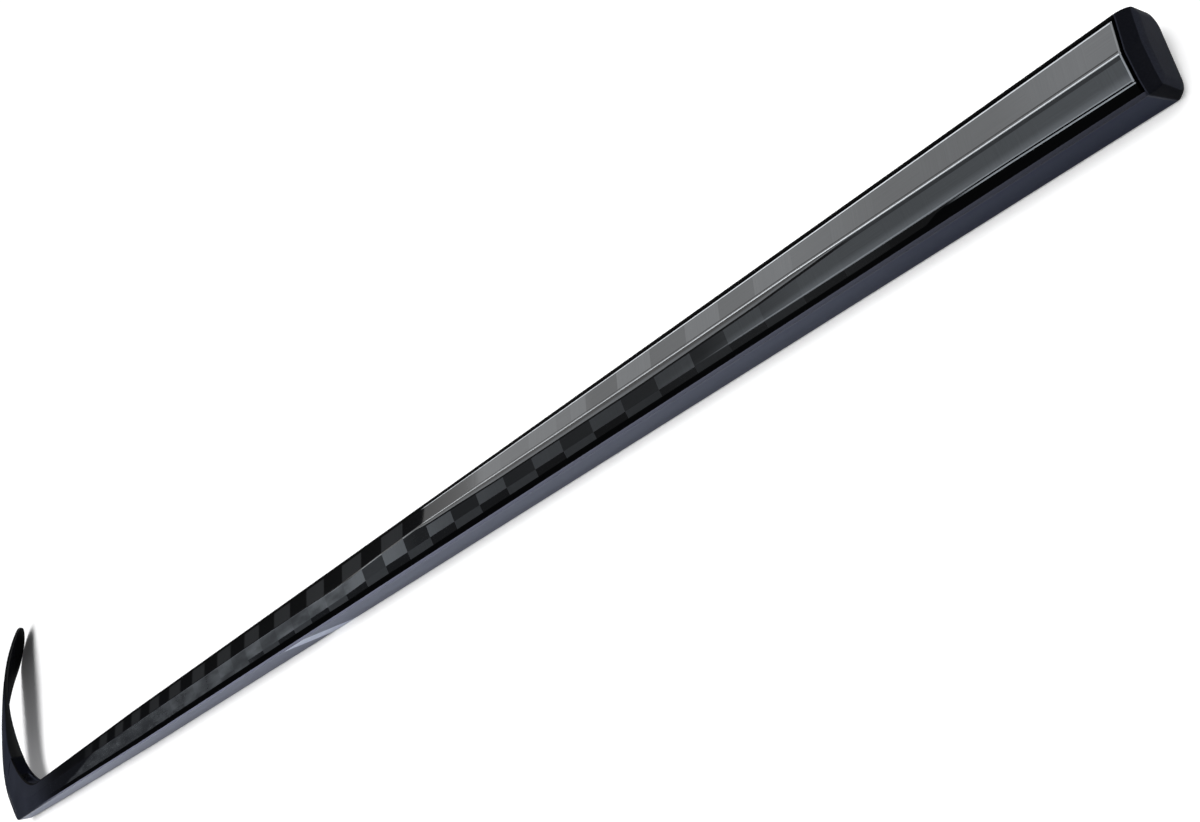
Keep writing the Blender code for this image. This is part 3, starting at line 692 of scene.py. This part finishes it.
    # by the blade it gives way to the smooth laminate
    near_blade = f.step(along, *NEAR_BLADE)
    hue = f.blend_colours(above(LAND_MIDDLE), LOWER_HUE, UPPER_HUE)
    colour = f.blend_colours(lap, f.tint(level, hue), f.tint(lap_tone, LAP_LACQUER))
    smooth = f.tint(laminate_level(f), LAMINATE)
    f.drive("Base Color", f.blend_colours(near_blade, colour, smooth))

    # no clear coat on the lacquers, and little of it on the lower facets towards the heel
    matt = f.maths("MAXIMUM", f.maths("MAXIMUM", black, f.strip(toe_side, *TOE_EDGE_MATT)),
                   f.maths("MAXIMUM", lap, end_groove_shade))
    worn = f.blend(f.times(above(RIDGE), below(FOREHAND_TOE)), 1.0, f.levels(along, *COAT_WEAR))
    bare = f.maths("SUBTRACT", 1.0, near_blade)
    f.drive("Coat Weight", f.times(f.blend(matt, worn, 0.0), bare))
    f.drive("Metallic", f.times(f.blend(lap, WEAVE_METAL, 0.0), bare))
    f.set(Roughness=0.33, Coat_Roughness=0.02, Specular_IOR_Level=0.05,
          Specular_Tint=(0.12, 0.12, 0.12, 1.0))
    return f.mat


EDGE_TONES = (0.0006, 0.002)
EDGE_ROUGHNESS = (0.45, 0.6)


def edge_black():
    """The shaft's long edges: black lacquer over resin, no fibre showing; the black is partly
    painted shade along these roundings.
    """
    f = Finish("edge_black")
    grain = f.noise(EDGE_GRAIN)
    f.drive("Base Color", f.tint(f.blend(grain, *EDGE_TONES), EDGE_TINT))
    f.drive("Roughness", f.blend(grain, *EDGE_ROUGHNESS))
    f.set(Specular_IOR_Level=0.04)
    return f.mat


# The side's tone rises towards the heel partly as a fade of the lacquer and partly as painted
# reflection.
SIDE_TONE = ((0.26, 0.37), (0.38, 0.285), (0.50, 0.252), (0.92, 0.234), (1.03, 0.205),
             (1.194, 0.16), (1.34, 0.104), (1.39, 0.077), (1.475, 0.058))
SIDE_HIGHLIGHT_PATCH = (0.836, 0.868, 0.003)  # the lighter patch, a painted highlight: its two ends and their softness, in metres
SIDE_HIGHLIGHT_SLANT = 0.058
SIDE_HIGHLIGHT_GAIN = 3.2
STREAK_GAINS = (0.85, 1.15)
LACQUER_ROUGHNESS = (0.28, 0.36)
CROTCH_SIDE = (4.0, 4.5)       # round the section: from here on the toe side
CROTCH_LINE = (5.62, 5.74, 0.02)
CROTCH_TONES = (0.004, 0.07)
CROTCH_BLACK = (0.17, 0.12)    # fades along the shaft: into the black, its line, and the root
CROTCH_LINE_REACH = (0.12, 0.09)
SIDE_ROOT = (0.045, 0.03)
SIDE_ROOT_TONE = 0.012


def side_lacquer():
    """The narrow side faces: blue-black metallic lacquer, lighter towards the heel partly as
    painted reflection, with a painted highlight patch.
    """
    f = Finish("side_lacquer")
    along, around, _ = f.split(f.uv("section"))
    streak = f.noise(1.0, 3.0, STREAK_GRAIN)
    shade = f.times(f.levels(along, *SIDE_TONE), f.blend(streak, *STREAK_GAINS))

    # one lighter slanting patch, a painted highlight
    slant = f.maths("ADD", along, f.times(around, SIDE_HIGHLIGHT_SLANT))
    shade = f.times(shade, f.blend(f.strip(slant, *SIDE_HIGHLIGHT_PATCH), 1.0, SIDE_HIGHLIGHT_GAIN))

    # black round the crotch, with one thin lighter line
    crotch_side = f.times(f.step(around, *CROTCH_SIDE), f.step(along, *CROTCH_BLACK))
    crotch_line = f.times(f.strip(around, *CROTCH_LINE), f.step(along, *CROTCH_LINE_REACH))
    shade = f.blend(crotch_side, shade, f.blend(crotch_line, *CROTCH_TONES))
    shade = f.blend(f.step(along, *SIDE_ROOT), shade, SIDE_ROOT_TONE)
    f.drive("Base Color", f.tint(shade, LACQUER))
    f.drive("Roughness", f.blend(streak, *LACQUER_ROUGHNESS))
    f.set(Metallic=0.95, Specular_Tint=(0.36, 0.37, 0.44, 1.0))
    return f.mat


LIT_BY_HEEL = (0.20, 0.09)     # fade into the lighter part by the heel, along the blade
SHADED_BLADE_GAIN = 0.07            # gain of the rest, painted shade


def blade_carbon():
    """Blade faces: smooth black laminate under a thin coat, with painted shade making it darker
    away from the heel.
    """
    f = Finish("blade_carbon")
    length, _, _ = f.split(f.uv("blade"))
    near_heel = f.step(length, *LIT_BY_HEEL)
    level = f.times(laminate_level(f), f.blend(near_heel, SHADED_BLADE_GAIN, 1.0))
    f.drive("Base Color", f.tint(level, LAMINATE))
    f.set(Roughness=0.36, Specular_IOR_Level=0.0, Coat_Weight=0.02, Coat_Roughness=0.2)
    return f.mat


RESIN_TONES = (0.005, 0.01)


def edge_resin():
    """The blade's edge band: satin black resin."""
    f = Finish("edge_resin")
    grain = f.noise(RESIN_GRAIN)
    f.drive("Base Color", f.tint(f.blend(grain, *RESIN_TONES), RESIN_TINT))
    f.set(Roughness=0.45, Specular_IOR_Level=0.04)
    return f.mat


CAP_END_FACE = (0.80, 0.84)    # fade into the end face, as shares of the cap's height
PLASTIC_TONES = (0.006, 0.02)  # of its side and its end face, the end face lighter as painted light
PLASTIC_GAINS = (0.6, 1.4)
PLASTIC_ROUGHNESS = (0.4, 0.55)


def cap_plastic():
    """Butt cap: moulded blue-black plastic with a fine grain, and painted light making it a little
    lighter on its end.
    """
    f = Finish("cap_plastic")
    rise, _, _ = f.split(f.uv("section"))
    end_face = f.step(rise, *CAP_END_FACE)
    grain = f.noise(PLASTIC_GRAIN)
    level = f.times(f.blend(end_face, *PLASTIC_TONES), f.blend(grain, *PLASTIC_GAINS))
    f.drive("Base Color", f.tint(level, PLASTIC_TINT))
    f.drive("Roughness", f.blend(grain, *PLASTIC_ROUGHNESS))
    f.set(Specular_IOR_Level=0.005)
    f.bump(grain, 0.03 * MM, 0.4)
    return f.mat


TWILL_TONES = (0.02, 0.06)


def raw_carbon():
    """Bare laminate of the hidden tenon and spar: a fine twill."""
    f = Finish("raw_carbon")
    wave = f.node("ShaderNodeTexWave", wave_type="BANDS", bands_direction="DIAGONAL")
    wave.inputs["Scale"].default_value = TWILL_GRAIN
    f.link(f.place(), wave.inputs["Vector"])
    twill = wave.outputs[1]
    f.drive("Base Color", f.tint(f.blend(twill, *TWILL_TONES), CARBON_TINT))
    f.set(Roughness=0.5)
    f.bump(twill, 0.05 * MM, 0.5)
    return f.mat


FOAM_TONES = (0.42, 0.62)


def core_foam():
    """Structural foam: closed cells, off-white."""
    f = Finish("core_foam")
    voronoi = f.node("ShaderNodeTexVoronoi")
    voronoi.inputs["Scale"].default_value = FOAM_CELLS
    f.link(f.place(), voronoi.inputs["Vector"])
    cells = voronoi.outputs[0]
    f.drive("Base Color", f.tint(f.blend(cells, *FOAM_TONES), FOAM_TINT))
    f.set(Roughness=0.9)
    f.bump(cells, 0.2 * MM, 0.6)
    return f.mat


# The shaft's finishes, by their number in its list
CHEQUERED, BLACK_EDGED, LACQUERED = range(3)
shaft_finishes = [chequer_carbon(), edge_black(), side_lacquer()]

blade_face = blade_carbon()
resin = edge_resin()
moulded = cap_plastic()
bare_carbon = raw_carbon()
foam = core_foam()


def shaft_finish(place):
    """Which of the shaft's finishes a face at this place round the section has."""
    reach = ROUNDING + PLACE_SLACK
    if place < 0.0 or abs(place - TOE_EDGE) < reach or abs(place - FOREHAND_TOE) < reach:
        return BLACK_EDGED
    if place < HEEL_EDGE - ROUNDING or TOE_EDGE < place < FOREHAND_TOE:
        return LACQUERED
    return CHEQUERED


# Shaft tube

tube_places = np.linspace(tube_low, tube_high - END_CHAMFER, TUBE_RINGS)
outside = [shaft_ring(x) for x in tube_places] + [shaft_ring(tube_high, END_CHAMFER)]
bore = [shaft_ring(x, SHAFT_WALL)
        for x in (tube_high, mix(tube_low, tube_high, 0.5), TAPER_START, tube_low)]
make_piece("shaft_laminate", skin_rings(outside + bore, ring_loop=True, finish_of=shaft_finish),
           shaft_finishes, "carbon_gloss", "shaft_tube")


# Butt cap

def cap_ring(rise, depth, top, back):
    """One ring of the cap's outside, leaning back towards the forehand side with its height."""
    crest = SHAFT_SHOULDER + SPINE_RISE
    ring = []
    for p, _, v in shaft_ring(cap_seat, depth, cap_seat, top, back):
        low = (crest - p.z) / (crest + SHAFT_BACK)
        ring.append((p + Vector((rise * (CAP_LENGTH - CAP_LEAN * low), 0.0, 0.0)), rise, v))
    return ring


rim_rise = 1.0 - CAP_DOME / CAP_LENGTH
cap_rings = []
for k in range(CAP_RINGS):
    out = k / CAP_RINGS
    inset = CAP_RIM_DRAW + CAP_DOME_DRAW * (1.0 - out)
    cap_rings.append(cap_ring(mix(CAP_CROWN, rim_rise, out ** 2), inset,
                              CAP_TOP_RADIUS, CAP_BACK_RADIUS))
for k in range(CAP_RINGS):
    angle = pi / 2.0 * k / CAP_RINGS
    top = mix(CORNER_RADIUS, CAP_TOP_RADIUS, cos(angle))
    back = mix(BACK_RADIUS, CAP_BACK_RADIUS, cos(angle))
    cap_rings.append(cap_ring(rim_rise * cos(angle), CAP_RIM_DRAW * (1.0 - sin(angle)), top, back))
plug_inset = SHAFT_WALL + FIT_GAP
plug_end = cap_seat - CAP_STEM
cap_rings += [
    shaft_ring(cap_seat, 0.0, cap_seat),
    shaft_ring(cap_seat, plug_inset, cap_seat),
    shaft_ring(cap_seat, plug_inset, plug_end + STEM_LEAD),
    shaft_ring(cap_seat, plug_inset + STEM_RELIEF, plug_end),
    shaft_ring(cap_seat, plug_inset + CAP_WALL, plug_end),
    shaft_ring(cap_seat, plug_inset + CAP_WALL, HEEL_TO_BUTT - CAP_FLOOR),
]
make_piece("moulded_butt_cap", skin_rings(cap_rings), [moulded], "cap_plastic", "butt_cap",
           sharp=CAP_SHARP_EDGE)


# Blade shape

ALONG = Vector((cos(LIE), sin(LIE), 0.0))
UPWARD = Vector((sin(LIE), -cos(LIE), 0.0))
HEEL = Vector((0.0, -TIP_WIDTH / 2.0, 0.0))

curve_a = np.linspace(0.0, BLADE_LENGTH, CURVE_POINTS)
curve_turn = CURVE_RATE * curve_a / BLADE_LENGTH + CURVE_HOOK * (curve_a / BLADE_LENGTH) ** 2
curve_mid = (curve_turn[1:] + curve_turn[:-1]) / 2.0
curve_run = np.concatenate(([0.0], np.cumsum(np.cos(curve_mid) * np.diff(curve_a))))
curve_drop = np.concatenate(([0.0], np.cumsum(np.sin(curve_mid) * np.diff(curve_a))))


def bend(a, h, z):
    """Blade coordinates (length, height, out of the backhand face) to the stick's frame."""
    if a <= 0.0:
        return HEEL + ALONG * a + UPWARD * h + Vector((0.0, 0.0, z))
    turn = float(np.interp(a, curve_a, curve_turn))
    run = float(np.interp(a, curve_a, curve_run))
    drop = float(np.interp(a, curve_a, curve_drop))
    lean = FACE_OPEN * smoothstep(0.0, OPEN_LENGTH, a)
    normal = Vector((0.0, 0.0, cos(turn))) + ALONG * sin(turn)
    up = UPWARD * cos(lean) + normal * sin(lean)
    out = normal * cos(lean) - UPWARD * sin(lean)
    return HEEL + ALONG * run - Vector((0.0, 0.0, drop)) + up * h + out * z


def lower_edge(a):
    share = min(max(a, 0.0) / (BLADE_LENGTH - TOE_DEPTH), 1.0)
    return ROCKER * share * share


def upper_edge(a):
    return mix(HEEL_HEIGHT, BLADE_HEIGHT, smoothstep(ROOT_LENGTH, FULL_HEIGHT_AT, a))


TOE_LOW = lower_edge(BLADE_LENGTH)
TOE_HIGH = upper_edge(BLADE_LENGTH)
TOE_MIDDLE = mix(TOE_LOW, TOE_HIGH, TOE_CENTRE)


def toe_end(h):
    reach = TOE_HIGH - TOE_MIDDLE if h > TOE_MIDDLE else TOE_MIDDLE - TOE_LOW
    t = min(abs(h - TOE_MIDDLE) / reach, 1.0)
    return BLADE_LENGTH - TOE_DEPTH + TOE_DEPTH * (1.0 - t ** TOE_POWER) ** (1.0 / TOE_POWER)


def heel_swell(a):
    return HEEL_SWELL * (1.0 - smoothstep(ROOT_LENGTH, SWELL_END, a))


def half_thickness(a, h):
    """Half the blade's thickness, fullest along its middle."""
    out = min(max((a - ROOT_LENGTH) / (BLADE_LENGTH - ROOT_LENGTH), 0.0), 1.0)
    middle = mix(ROOT_THICKNESS, TOE_THICKNESS, out) / 2.0
    low, high = lower_edge(a), upper_edge(a)
    side_share = min(abs(2.0 * (h - low) / (high - low) - 1.0), 1.0)
    near_toe = min(max(1.0 - (toe_end(h) - a) / TOE_THINNING, 0.0), 1.0)
    thinned = min(side_share ** THINNING_POWER + near_toe ** THINNING_POWER, 1.0)
    return middle * (1.0 - EDGE_THINNING * thinned) + heel_swell(a)


# Hosel

def rounded_path(start, corner, end, radius):
    """A straight run to a rounded corner and on to the end, as points in the stick's plane."""
    back = (start - corner).normalized()
    on = (end - corner).normalized()
    half = back.angle(on) / 2.0
    centre = corner + (back + on).normalized() * (radius / sin(half))
    first = corner + back * (radius / tan(half)) - centre
    last = corner + on * (radius / tan(half)) - centre
    turn = atan2(first.x * last.y - first.y * last.x, first.x * last.x + first.y * last.y)
    arc = [centre + turned(first, turn * k / PATH_STEPS) for k in range(PATH_STEPS + 1)]
    return [start] + arc + [end]


def point_on(path, share):
    """The point at a share of a path's length."""
    lengths = [hypot(*(b - a)) for a, b in zip(path, path[1:])]
    left = share * sum(lengths)
    for (a, b), length in zip(zip(path, path[1:]), lengths):
        if left <= length:
            return a.lerp(b, left / length)
        left -= length
    return path[-1]


fan_half = shaft_corners(FAN_X)[FOREHAND_TOE][0]
root_low = (HEEL + ALONG * ROOT_LENGTH).xy
root_high = (HEEL + ALONG * ROOT_LENGTH + UPWARD * HEEL_HEIGHT).xy
crotch = root_high + ALONG.xy * ((TIP_WIDTH / 2.0 - root_high.y) / ALONG.y)
heel_path = rounded_path(Vector((FAN_X, -fan_half)), HEEL.xy, root_low, HEEL_RADIUS)
crotch_path = rounded_path(Vector((FAN_X, fan_half)), crotch, root_high, CROTCH_RADIUS)


def root_corners(half):
    """The blade's root in the same ten corners as the shaft's outline."""
    swell = heel_swell(ROOT_LENGTH)
    thick = ROOT_THICKNESS / 2.0 + swell
    edge = ROOT_THICKNESS / 2.0 * (1.0 - EDGE_THINNING) + swell
    crown_thinning = EDGE_THINNING * ROOT_CROWN_AT ** THINNING_POWER
    crown = ROOT_THICKNESS / 2.0 * (1.0 - crown_thinning) + swell
    return [(-half, -edge), (-half, edge), (-half * ROOT_CROWN_AT, crown),
            (-half * ROOT_LAND, thick), (half * ROOT_LAND, thick), (half, edge), (half, -edge),
            (half / 2.0, -crown), (0.0, -thick), (-half / 2.0, -crown)]


def hosel_ring(step, depth=0.0):
    """One ring of the hosel, from the joint (step 0) by the turn's start (1) to the root (2)."""
    if step <= 1.0:
        x = mix(JOINT_X, FAN_X, step)
        section = shaft_corners(x)
        low, high = (Vector((x, section[i][0])) for i in (FOREHAND_HEEL, FOREHAND_TOE))
        blend = 0.0
    else:
        turn = step - 1.0
        low, high = point_on(heel_path, turn), point_on(crotch_path, turn)
        x = FAN_X * (1.0 - turn)
        blend = smoothstep(0.0, 1.0, turn)
    half = (high - low).length / 2.0
    middle = (high + low) / 2.0
    across = (high - low).normalized()
    section = shaft_corners(x)
    scale = half / section[FOREHAND_TOE][0]
    corners = [(mix(s[0] * scale, r[0], blend), mix(s[1], r[1], blend))
               for s, r in zip(section, root_corners(half))]
    heel, top, back = (max(mix(start, ROOT_RADIUS, blend) - depth, LEAST_RADIUS)
                       for start in (CORNER_RADIUS * HEEL_EDGE_SHARE, CORNER_RADIUS, BACK_RADIUS))
    line = mix(FACET_EDGE, ROOT_CROWN_RADIUS, blend ** 2)
    ring = []
    for p, v in round_corners(inset_corners(corners, depth), heel, top, back, line):
        flat = middle + across * p.x - HEEL.xy
        ring.append((bend(flat.dot(ALONG.xy), flat.dot(UPWARD.xy), p.y), x, v))
    return ring


steps = [k / STRAIGHT_RINGS for k in range(STRAIGHT_RINGS)]
steps += [1.0 + k / HOSEL_RINGS for k in range(HOSEL_RINGS + 1)]
shell_out = [hosel_ring(s) for s in steps]
shell_in = [hosel_ring(s, mix(HOSEL_WALL, ROOT_WALL, smoothstep(1.0, 2.0, s)))
            for s in reversed(steps)]
shell = skin_rings(shell_out + shell_in, ring_loop=True, finish_of=shaft_finish)
make_piece("hosel_laminate", shell, shaft_finishes, "carbon_gloss", "hosel_shell")


# Blade skins: outlines that shrink from the edge to a line along the blade's middle

blade_start = ROOT_LENGTH + HAIRLINE
blade_path = ([("low", k / EDGE_STEPS) for k in range(EDGE_STEPS)]
              + [("toe", k / TOE_STEPS) for k in range(TOE_STEPS + 1)]
              + [("high", 1.0 - k / EDGE_STEPS) for k in range(1, EDGE_STEPS + 1)])


def outline_point(kind, t, inward):
    """Length and height on the outline that is a share inward of the way to the middle line."""
    if kind == "toe":
        angle = mix(-pi / 2.0, pi / 2.0, t)
        power = 2.0 / TOE_POWER
        reach = (TOE_HIGH - TOE_MIDDLE if angle > 0.0 else TOE_MIDDLE - TOE_LOW) * (1.0 - inward)
        depth = mix(TOE_DEPTH, TOE_CORE, inward) * max(cos(angle), 0.0) ** power
        side = 1.0 if angle > 0.0 else -1.0
        return (BLADE_LENGTH - TOE_DEPTH + depth,
                TOE_MIDDLE + reach * (abs(sin(angle)) ** power) * side)
    a = mix(blade_start, BLADE_LENGTH - TOE_DEPTH, t)
    middle = mix(lower_edge(a), upper_edge(a), TOE_CENTRE)
    return a, mix(lower_edge(a) if kind == "low" else upper_edge(a), middle, inward)


edge_share = EDGE_ROUND / (BLADE_HEIGHT / 2.0)
inward_shares = [edge_share * (1.0 - cos(pi / 2.0 * k / ROUND_STEPS))
                 for k in range(ROUND_STEPS + 1)]
inward_shares += [0.05, 0.09, 0.15, 0.23, 0.33, 0.45, 0.58, 0.72, 0.86, 1.0]


def blade_skin(name, side_sign, stands_for):
    """One face of the blade, on the backhand side for a sign of 1 and the forehand side for -1."""
    def row(inward, depth):
        fall = 1.0 - min(inward / edge_share, 1.0)
        rounding = 0.0 if depth else EDGE_ROUND * (1.0 - (1.0 - fall ** 2) ** 0.5)
        points = []
        for kind, t in blade_path:
            a, h = outline_point(kind, t, inward)
            points.append((a, h, side_sign * (half_thickness(a, h) - depth - rounding)))
        return points

    rows = [row(share, 0.0) for share in reversed(inward_shares)]
    rows += [row(share, SKIN) for share in inward_shares]
    bm = bmesh.new()
    uv = bm.loops.layers.uv.new("blade")
    grid = [[bm.verts.new(bend(*p)) for p in points] for points in rows]
    for i in range(len(rows) - 1):
        for k in range(len(blade_path) - 1):
            corners = ((i, k), (i, k + 1), (i + 1, k + 1), (i + 1, k))
            face = bm.faces.new([grid[r][c] for r, c in corners])
            for loop, (r, c) in zip(face.loops, corners):
                loop[uv].uv = rows[r][c][:2]
    bmesh.ops.remove_doubles(bm, verts=bm.verts, dist=WELD)
    bmesh.ops.holes_fill(bm, edges=[e for e in bm.edges if e.is_boundary], sides=0)
    face_outwards(bm)
    make_piece(name, bm, [blade_face], "blade_carbon", stands_for)


blade_skin("backhand_face", 1.0, "blade_backhand_skin")
blade_skin("forehand_face", -1.0, "blade_forehand_skin")


# Edge band between the faces

def band_ring(kind, t):
    """The band's section at one place of the blade's outline, with its outer corners rounded."""
    inner = EDGE_BAND / (BLADE_HEIGHT / 2.0)
    points = []
    for share in (inner, 0.5 * inner, BAND_ROUND / (BLADE_HEIGHT / 2.0), 0.0):
        a, h = outline_point(kind, t, share)
        z = half_thickness(a, h) - SKIN - HAIRLINE - (BAND_ROUND if share == 0.0 else 0.0)
        points.append((a, h, z))
    loop = [(a, h, -z) for a, h, z in points] + [(a, h, z) for a, h, z in reversed(points)]
    return [(bend(*p), t, float(i)) for i, p in enumerate(loop)]


band_rings = [band_ring(*place) for place in blade_path]
make_piece("edge_band", skin_rings(band_rings, around=len(band_rings[0])), [resin],
           "edge_resin", "blade_edge_band", sharp=BAND_SHARP_EDGE)


# Hidden pieces keep their shapes and get their finishes

for finish, names in ((bare_carbon, ("hosel_tenon", "blade_spar")),
                      (foam, ("bore_foam_plug", "heel_core", "blade_lower_core",
                              "blade_upper_core"))):
    for name in names:
        for slot in frame["nodes"][name].material_slots:
            slot.material = finish


# Floor

FLOOR_REACH = 40.0
FLOOR_PALE = (0.9, 0.9, 0.9, 1.0)
WHITE = (1.0, 1.0, 1.0, 1.0)
FLOOR_GLOW = 0.12

# Painted light on the floor: how much the camera sees the floor glow, beside the shaft by X, and
# beside the blade by Y
SHAFT_GLOW = ((0.2, 0.12), (0.62, 0.16), (1.03, 0.22), (1.194, 0.27), (1.42, 0.31))
BLADE_GLOW = ((0.05, 0.20), (0.10, 0.13), (0.15, 0.09), (0.21, 0.035))
BLADE_TO_SHAFT = (0.05, 0.15)


def pale_floor():
    """A pale floor whose glow, seen by the camera alone, paints the shadow a little lighter beside
    the shaft and darker by the toe.
    """
    f = Finish("pale_floor")
    x, y, _ = f.split(f.place())
    glow = f.blend(f.step(x, *BLADE_TO_SHAFT), f.levels(y, *BLADE_GLOW), f.levels(x, *SHAFT_GLOW))
    camera_ray = f.node("ShaderNodeLightPath").outputs["Is Camera Ray"]
    f.drive("Emission Strength", f.blend(camera_ray, FLOOR_GLOW, glow))
    f.set(Base_Color=FLOOR_PALE, Roughness=0.9, Specular_IOR_Level=0.0, Emission_Color=WHITE)
    return f.mat


floor_mesh = bpy.data.meshes.new("studio_floor")
floor_mesh.from_pydata([(x * FLOOR_REACH, y * FLOOR_REACH, 0.0)
                        for x, y in ((-1, -1), (1, -1), (1, 1), (-1, 1))], [], [(0, 1, 2, 3)])
floor_mesh.materials.append(pale_floor())
floor = bpy.data.objects.new("studio_floor", floor_mesh)
bpy.context.scene.collection.objects.link(floor)


# Light: a dim room, a wide overhead light, and one panel beyond the heel end

ROOM_BELOW = (0.45, (0.02, 0.022, 0.03, 1.0))    # place on the way up, and colour
ROOM_ABOVE = (0.7, (0.14, 0.143, 0.15, 1.0))
OVERHEAD_STRENGTH = 3.0
OVERHEAD_SPREAD = radians(48.0)
OVERHEAD_WAY = Vector((0.25, -0.22, 1.0))
PANEL_AZIMUTH, PANEL_ELEVATION = radians(149.0), radians(45.6)
PANEL_DISTANCE = 4.0
PANEL_WIDTH, PANEL_HEIGHT = 3.6, 2.41
PANEL_RADIANCE = 1.0

scene = bpy.context.scene
scene.view_settings.view_transform = "Standard"

room = bpy.data.worlds.new("studio_room")
scene.world = room
room.use_nodes = True
sky = room.node_tree.nodes
ways = room.node_tree.links
height = sky.new("ShaderNodeSeparateXYZ")
ways.new(sky.new("ShaderNodeTexCoord").outputs["Generated"], height.inputs[0])
ramp = sky.new("ShaderNodeValToRGB")
for point, (place, colour) in zip(ramp.color_ramp.elements, (ROOM_BELOW, ROOM_ABOVE)):
    point.position = place
    point.color = colour
ways.new(height.outputs[2], ramp.inputs[0])
ways.new(ramp.outputs[0], sky["Background"].inputs["Color"])

# what the camera itself sees behind the floor is white
backdrop = sky.new("ShaderNodeBackground")
backdrop.inputs["Color"].default_value = WHITE
seen = sky.new("ShaderNodeMixShader")
ways.new(sky.new("ShaderNodeLightPath").outputs["Is Camera Ray"], seen.inputs[0])
ways.new(sky["Background"].outputs[0], seen.inputs[1])
ways.new(backdrop.outputs[0], seen.inputs[2])
ways.new(seen.outputs[0], sky["World Output"].inputs["Surface"])


def add_light(name, kind, way):
    """A new light that shines from a given direction, as (light, object)."""
    light = bpy.data.lights.new(name, kind)
    ob = bpy.data.objects.new(name, light)
    ob.rotation_euler = way.to_track_quat("Z", "Y").to_euler()
    scene.collection.objects.link(ob)
    return light, ob


overhead, _ = add_light("overhead_light", "SUN", OVERHEAD_WAY)
overhead.energy = OVERHEAD_STRENGTH
overhead.angle = OVERHEAD_SPREAD

panel_way = Vector((cos(PANEL_AZIMUTH) * cos(PANEL_ELEVATION),
                    sin(PANEL_AZIMUTH) * cos(PANEL_ELEVATION), sin(PANEL_ELEVATION)))
panel, panel_object = add_light("far_panel", "AREA", panel_way)
panel.shape = "RECTANGLE"
panel.size, panel.size_y = PANEL_WIDTH, PANEL_HEIGHT
panel.energy = PANEL_RADIANCE * pi * PANEL_WIDTH * PANEL_HEIGHT
panel_object.location = panel_way * PANEL_DISTANCE
panel_object.visible_camera = False


# Camera

camera = bpy.data.objects.new("camera", bpy.data.cameras.new("camera"))
look = Matrix.Identity(4)
camera_axes = (CAMERA_RIGHT, -CAMERA_DOWN, -CAMERA_RIGHT.cross(CAMERA_DOWN), CAMERA_AT)
for column, way in enumerate(camera_axes):
    for line in range(3):
        look[line][column] = way[line]
camera.matrix_world = pose @ look
camera.data.sensor_width = SENSOR_WIDTH
camera.data.lens = CAMERA_LENS
camera.data.clip_start = NEAREST_SEEN
scene.collection.objects.link(camera)
scene.camera = camera
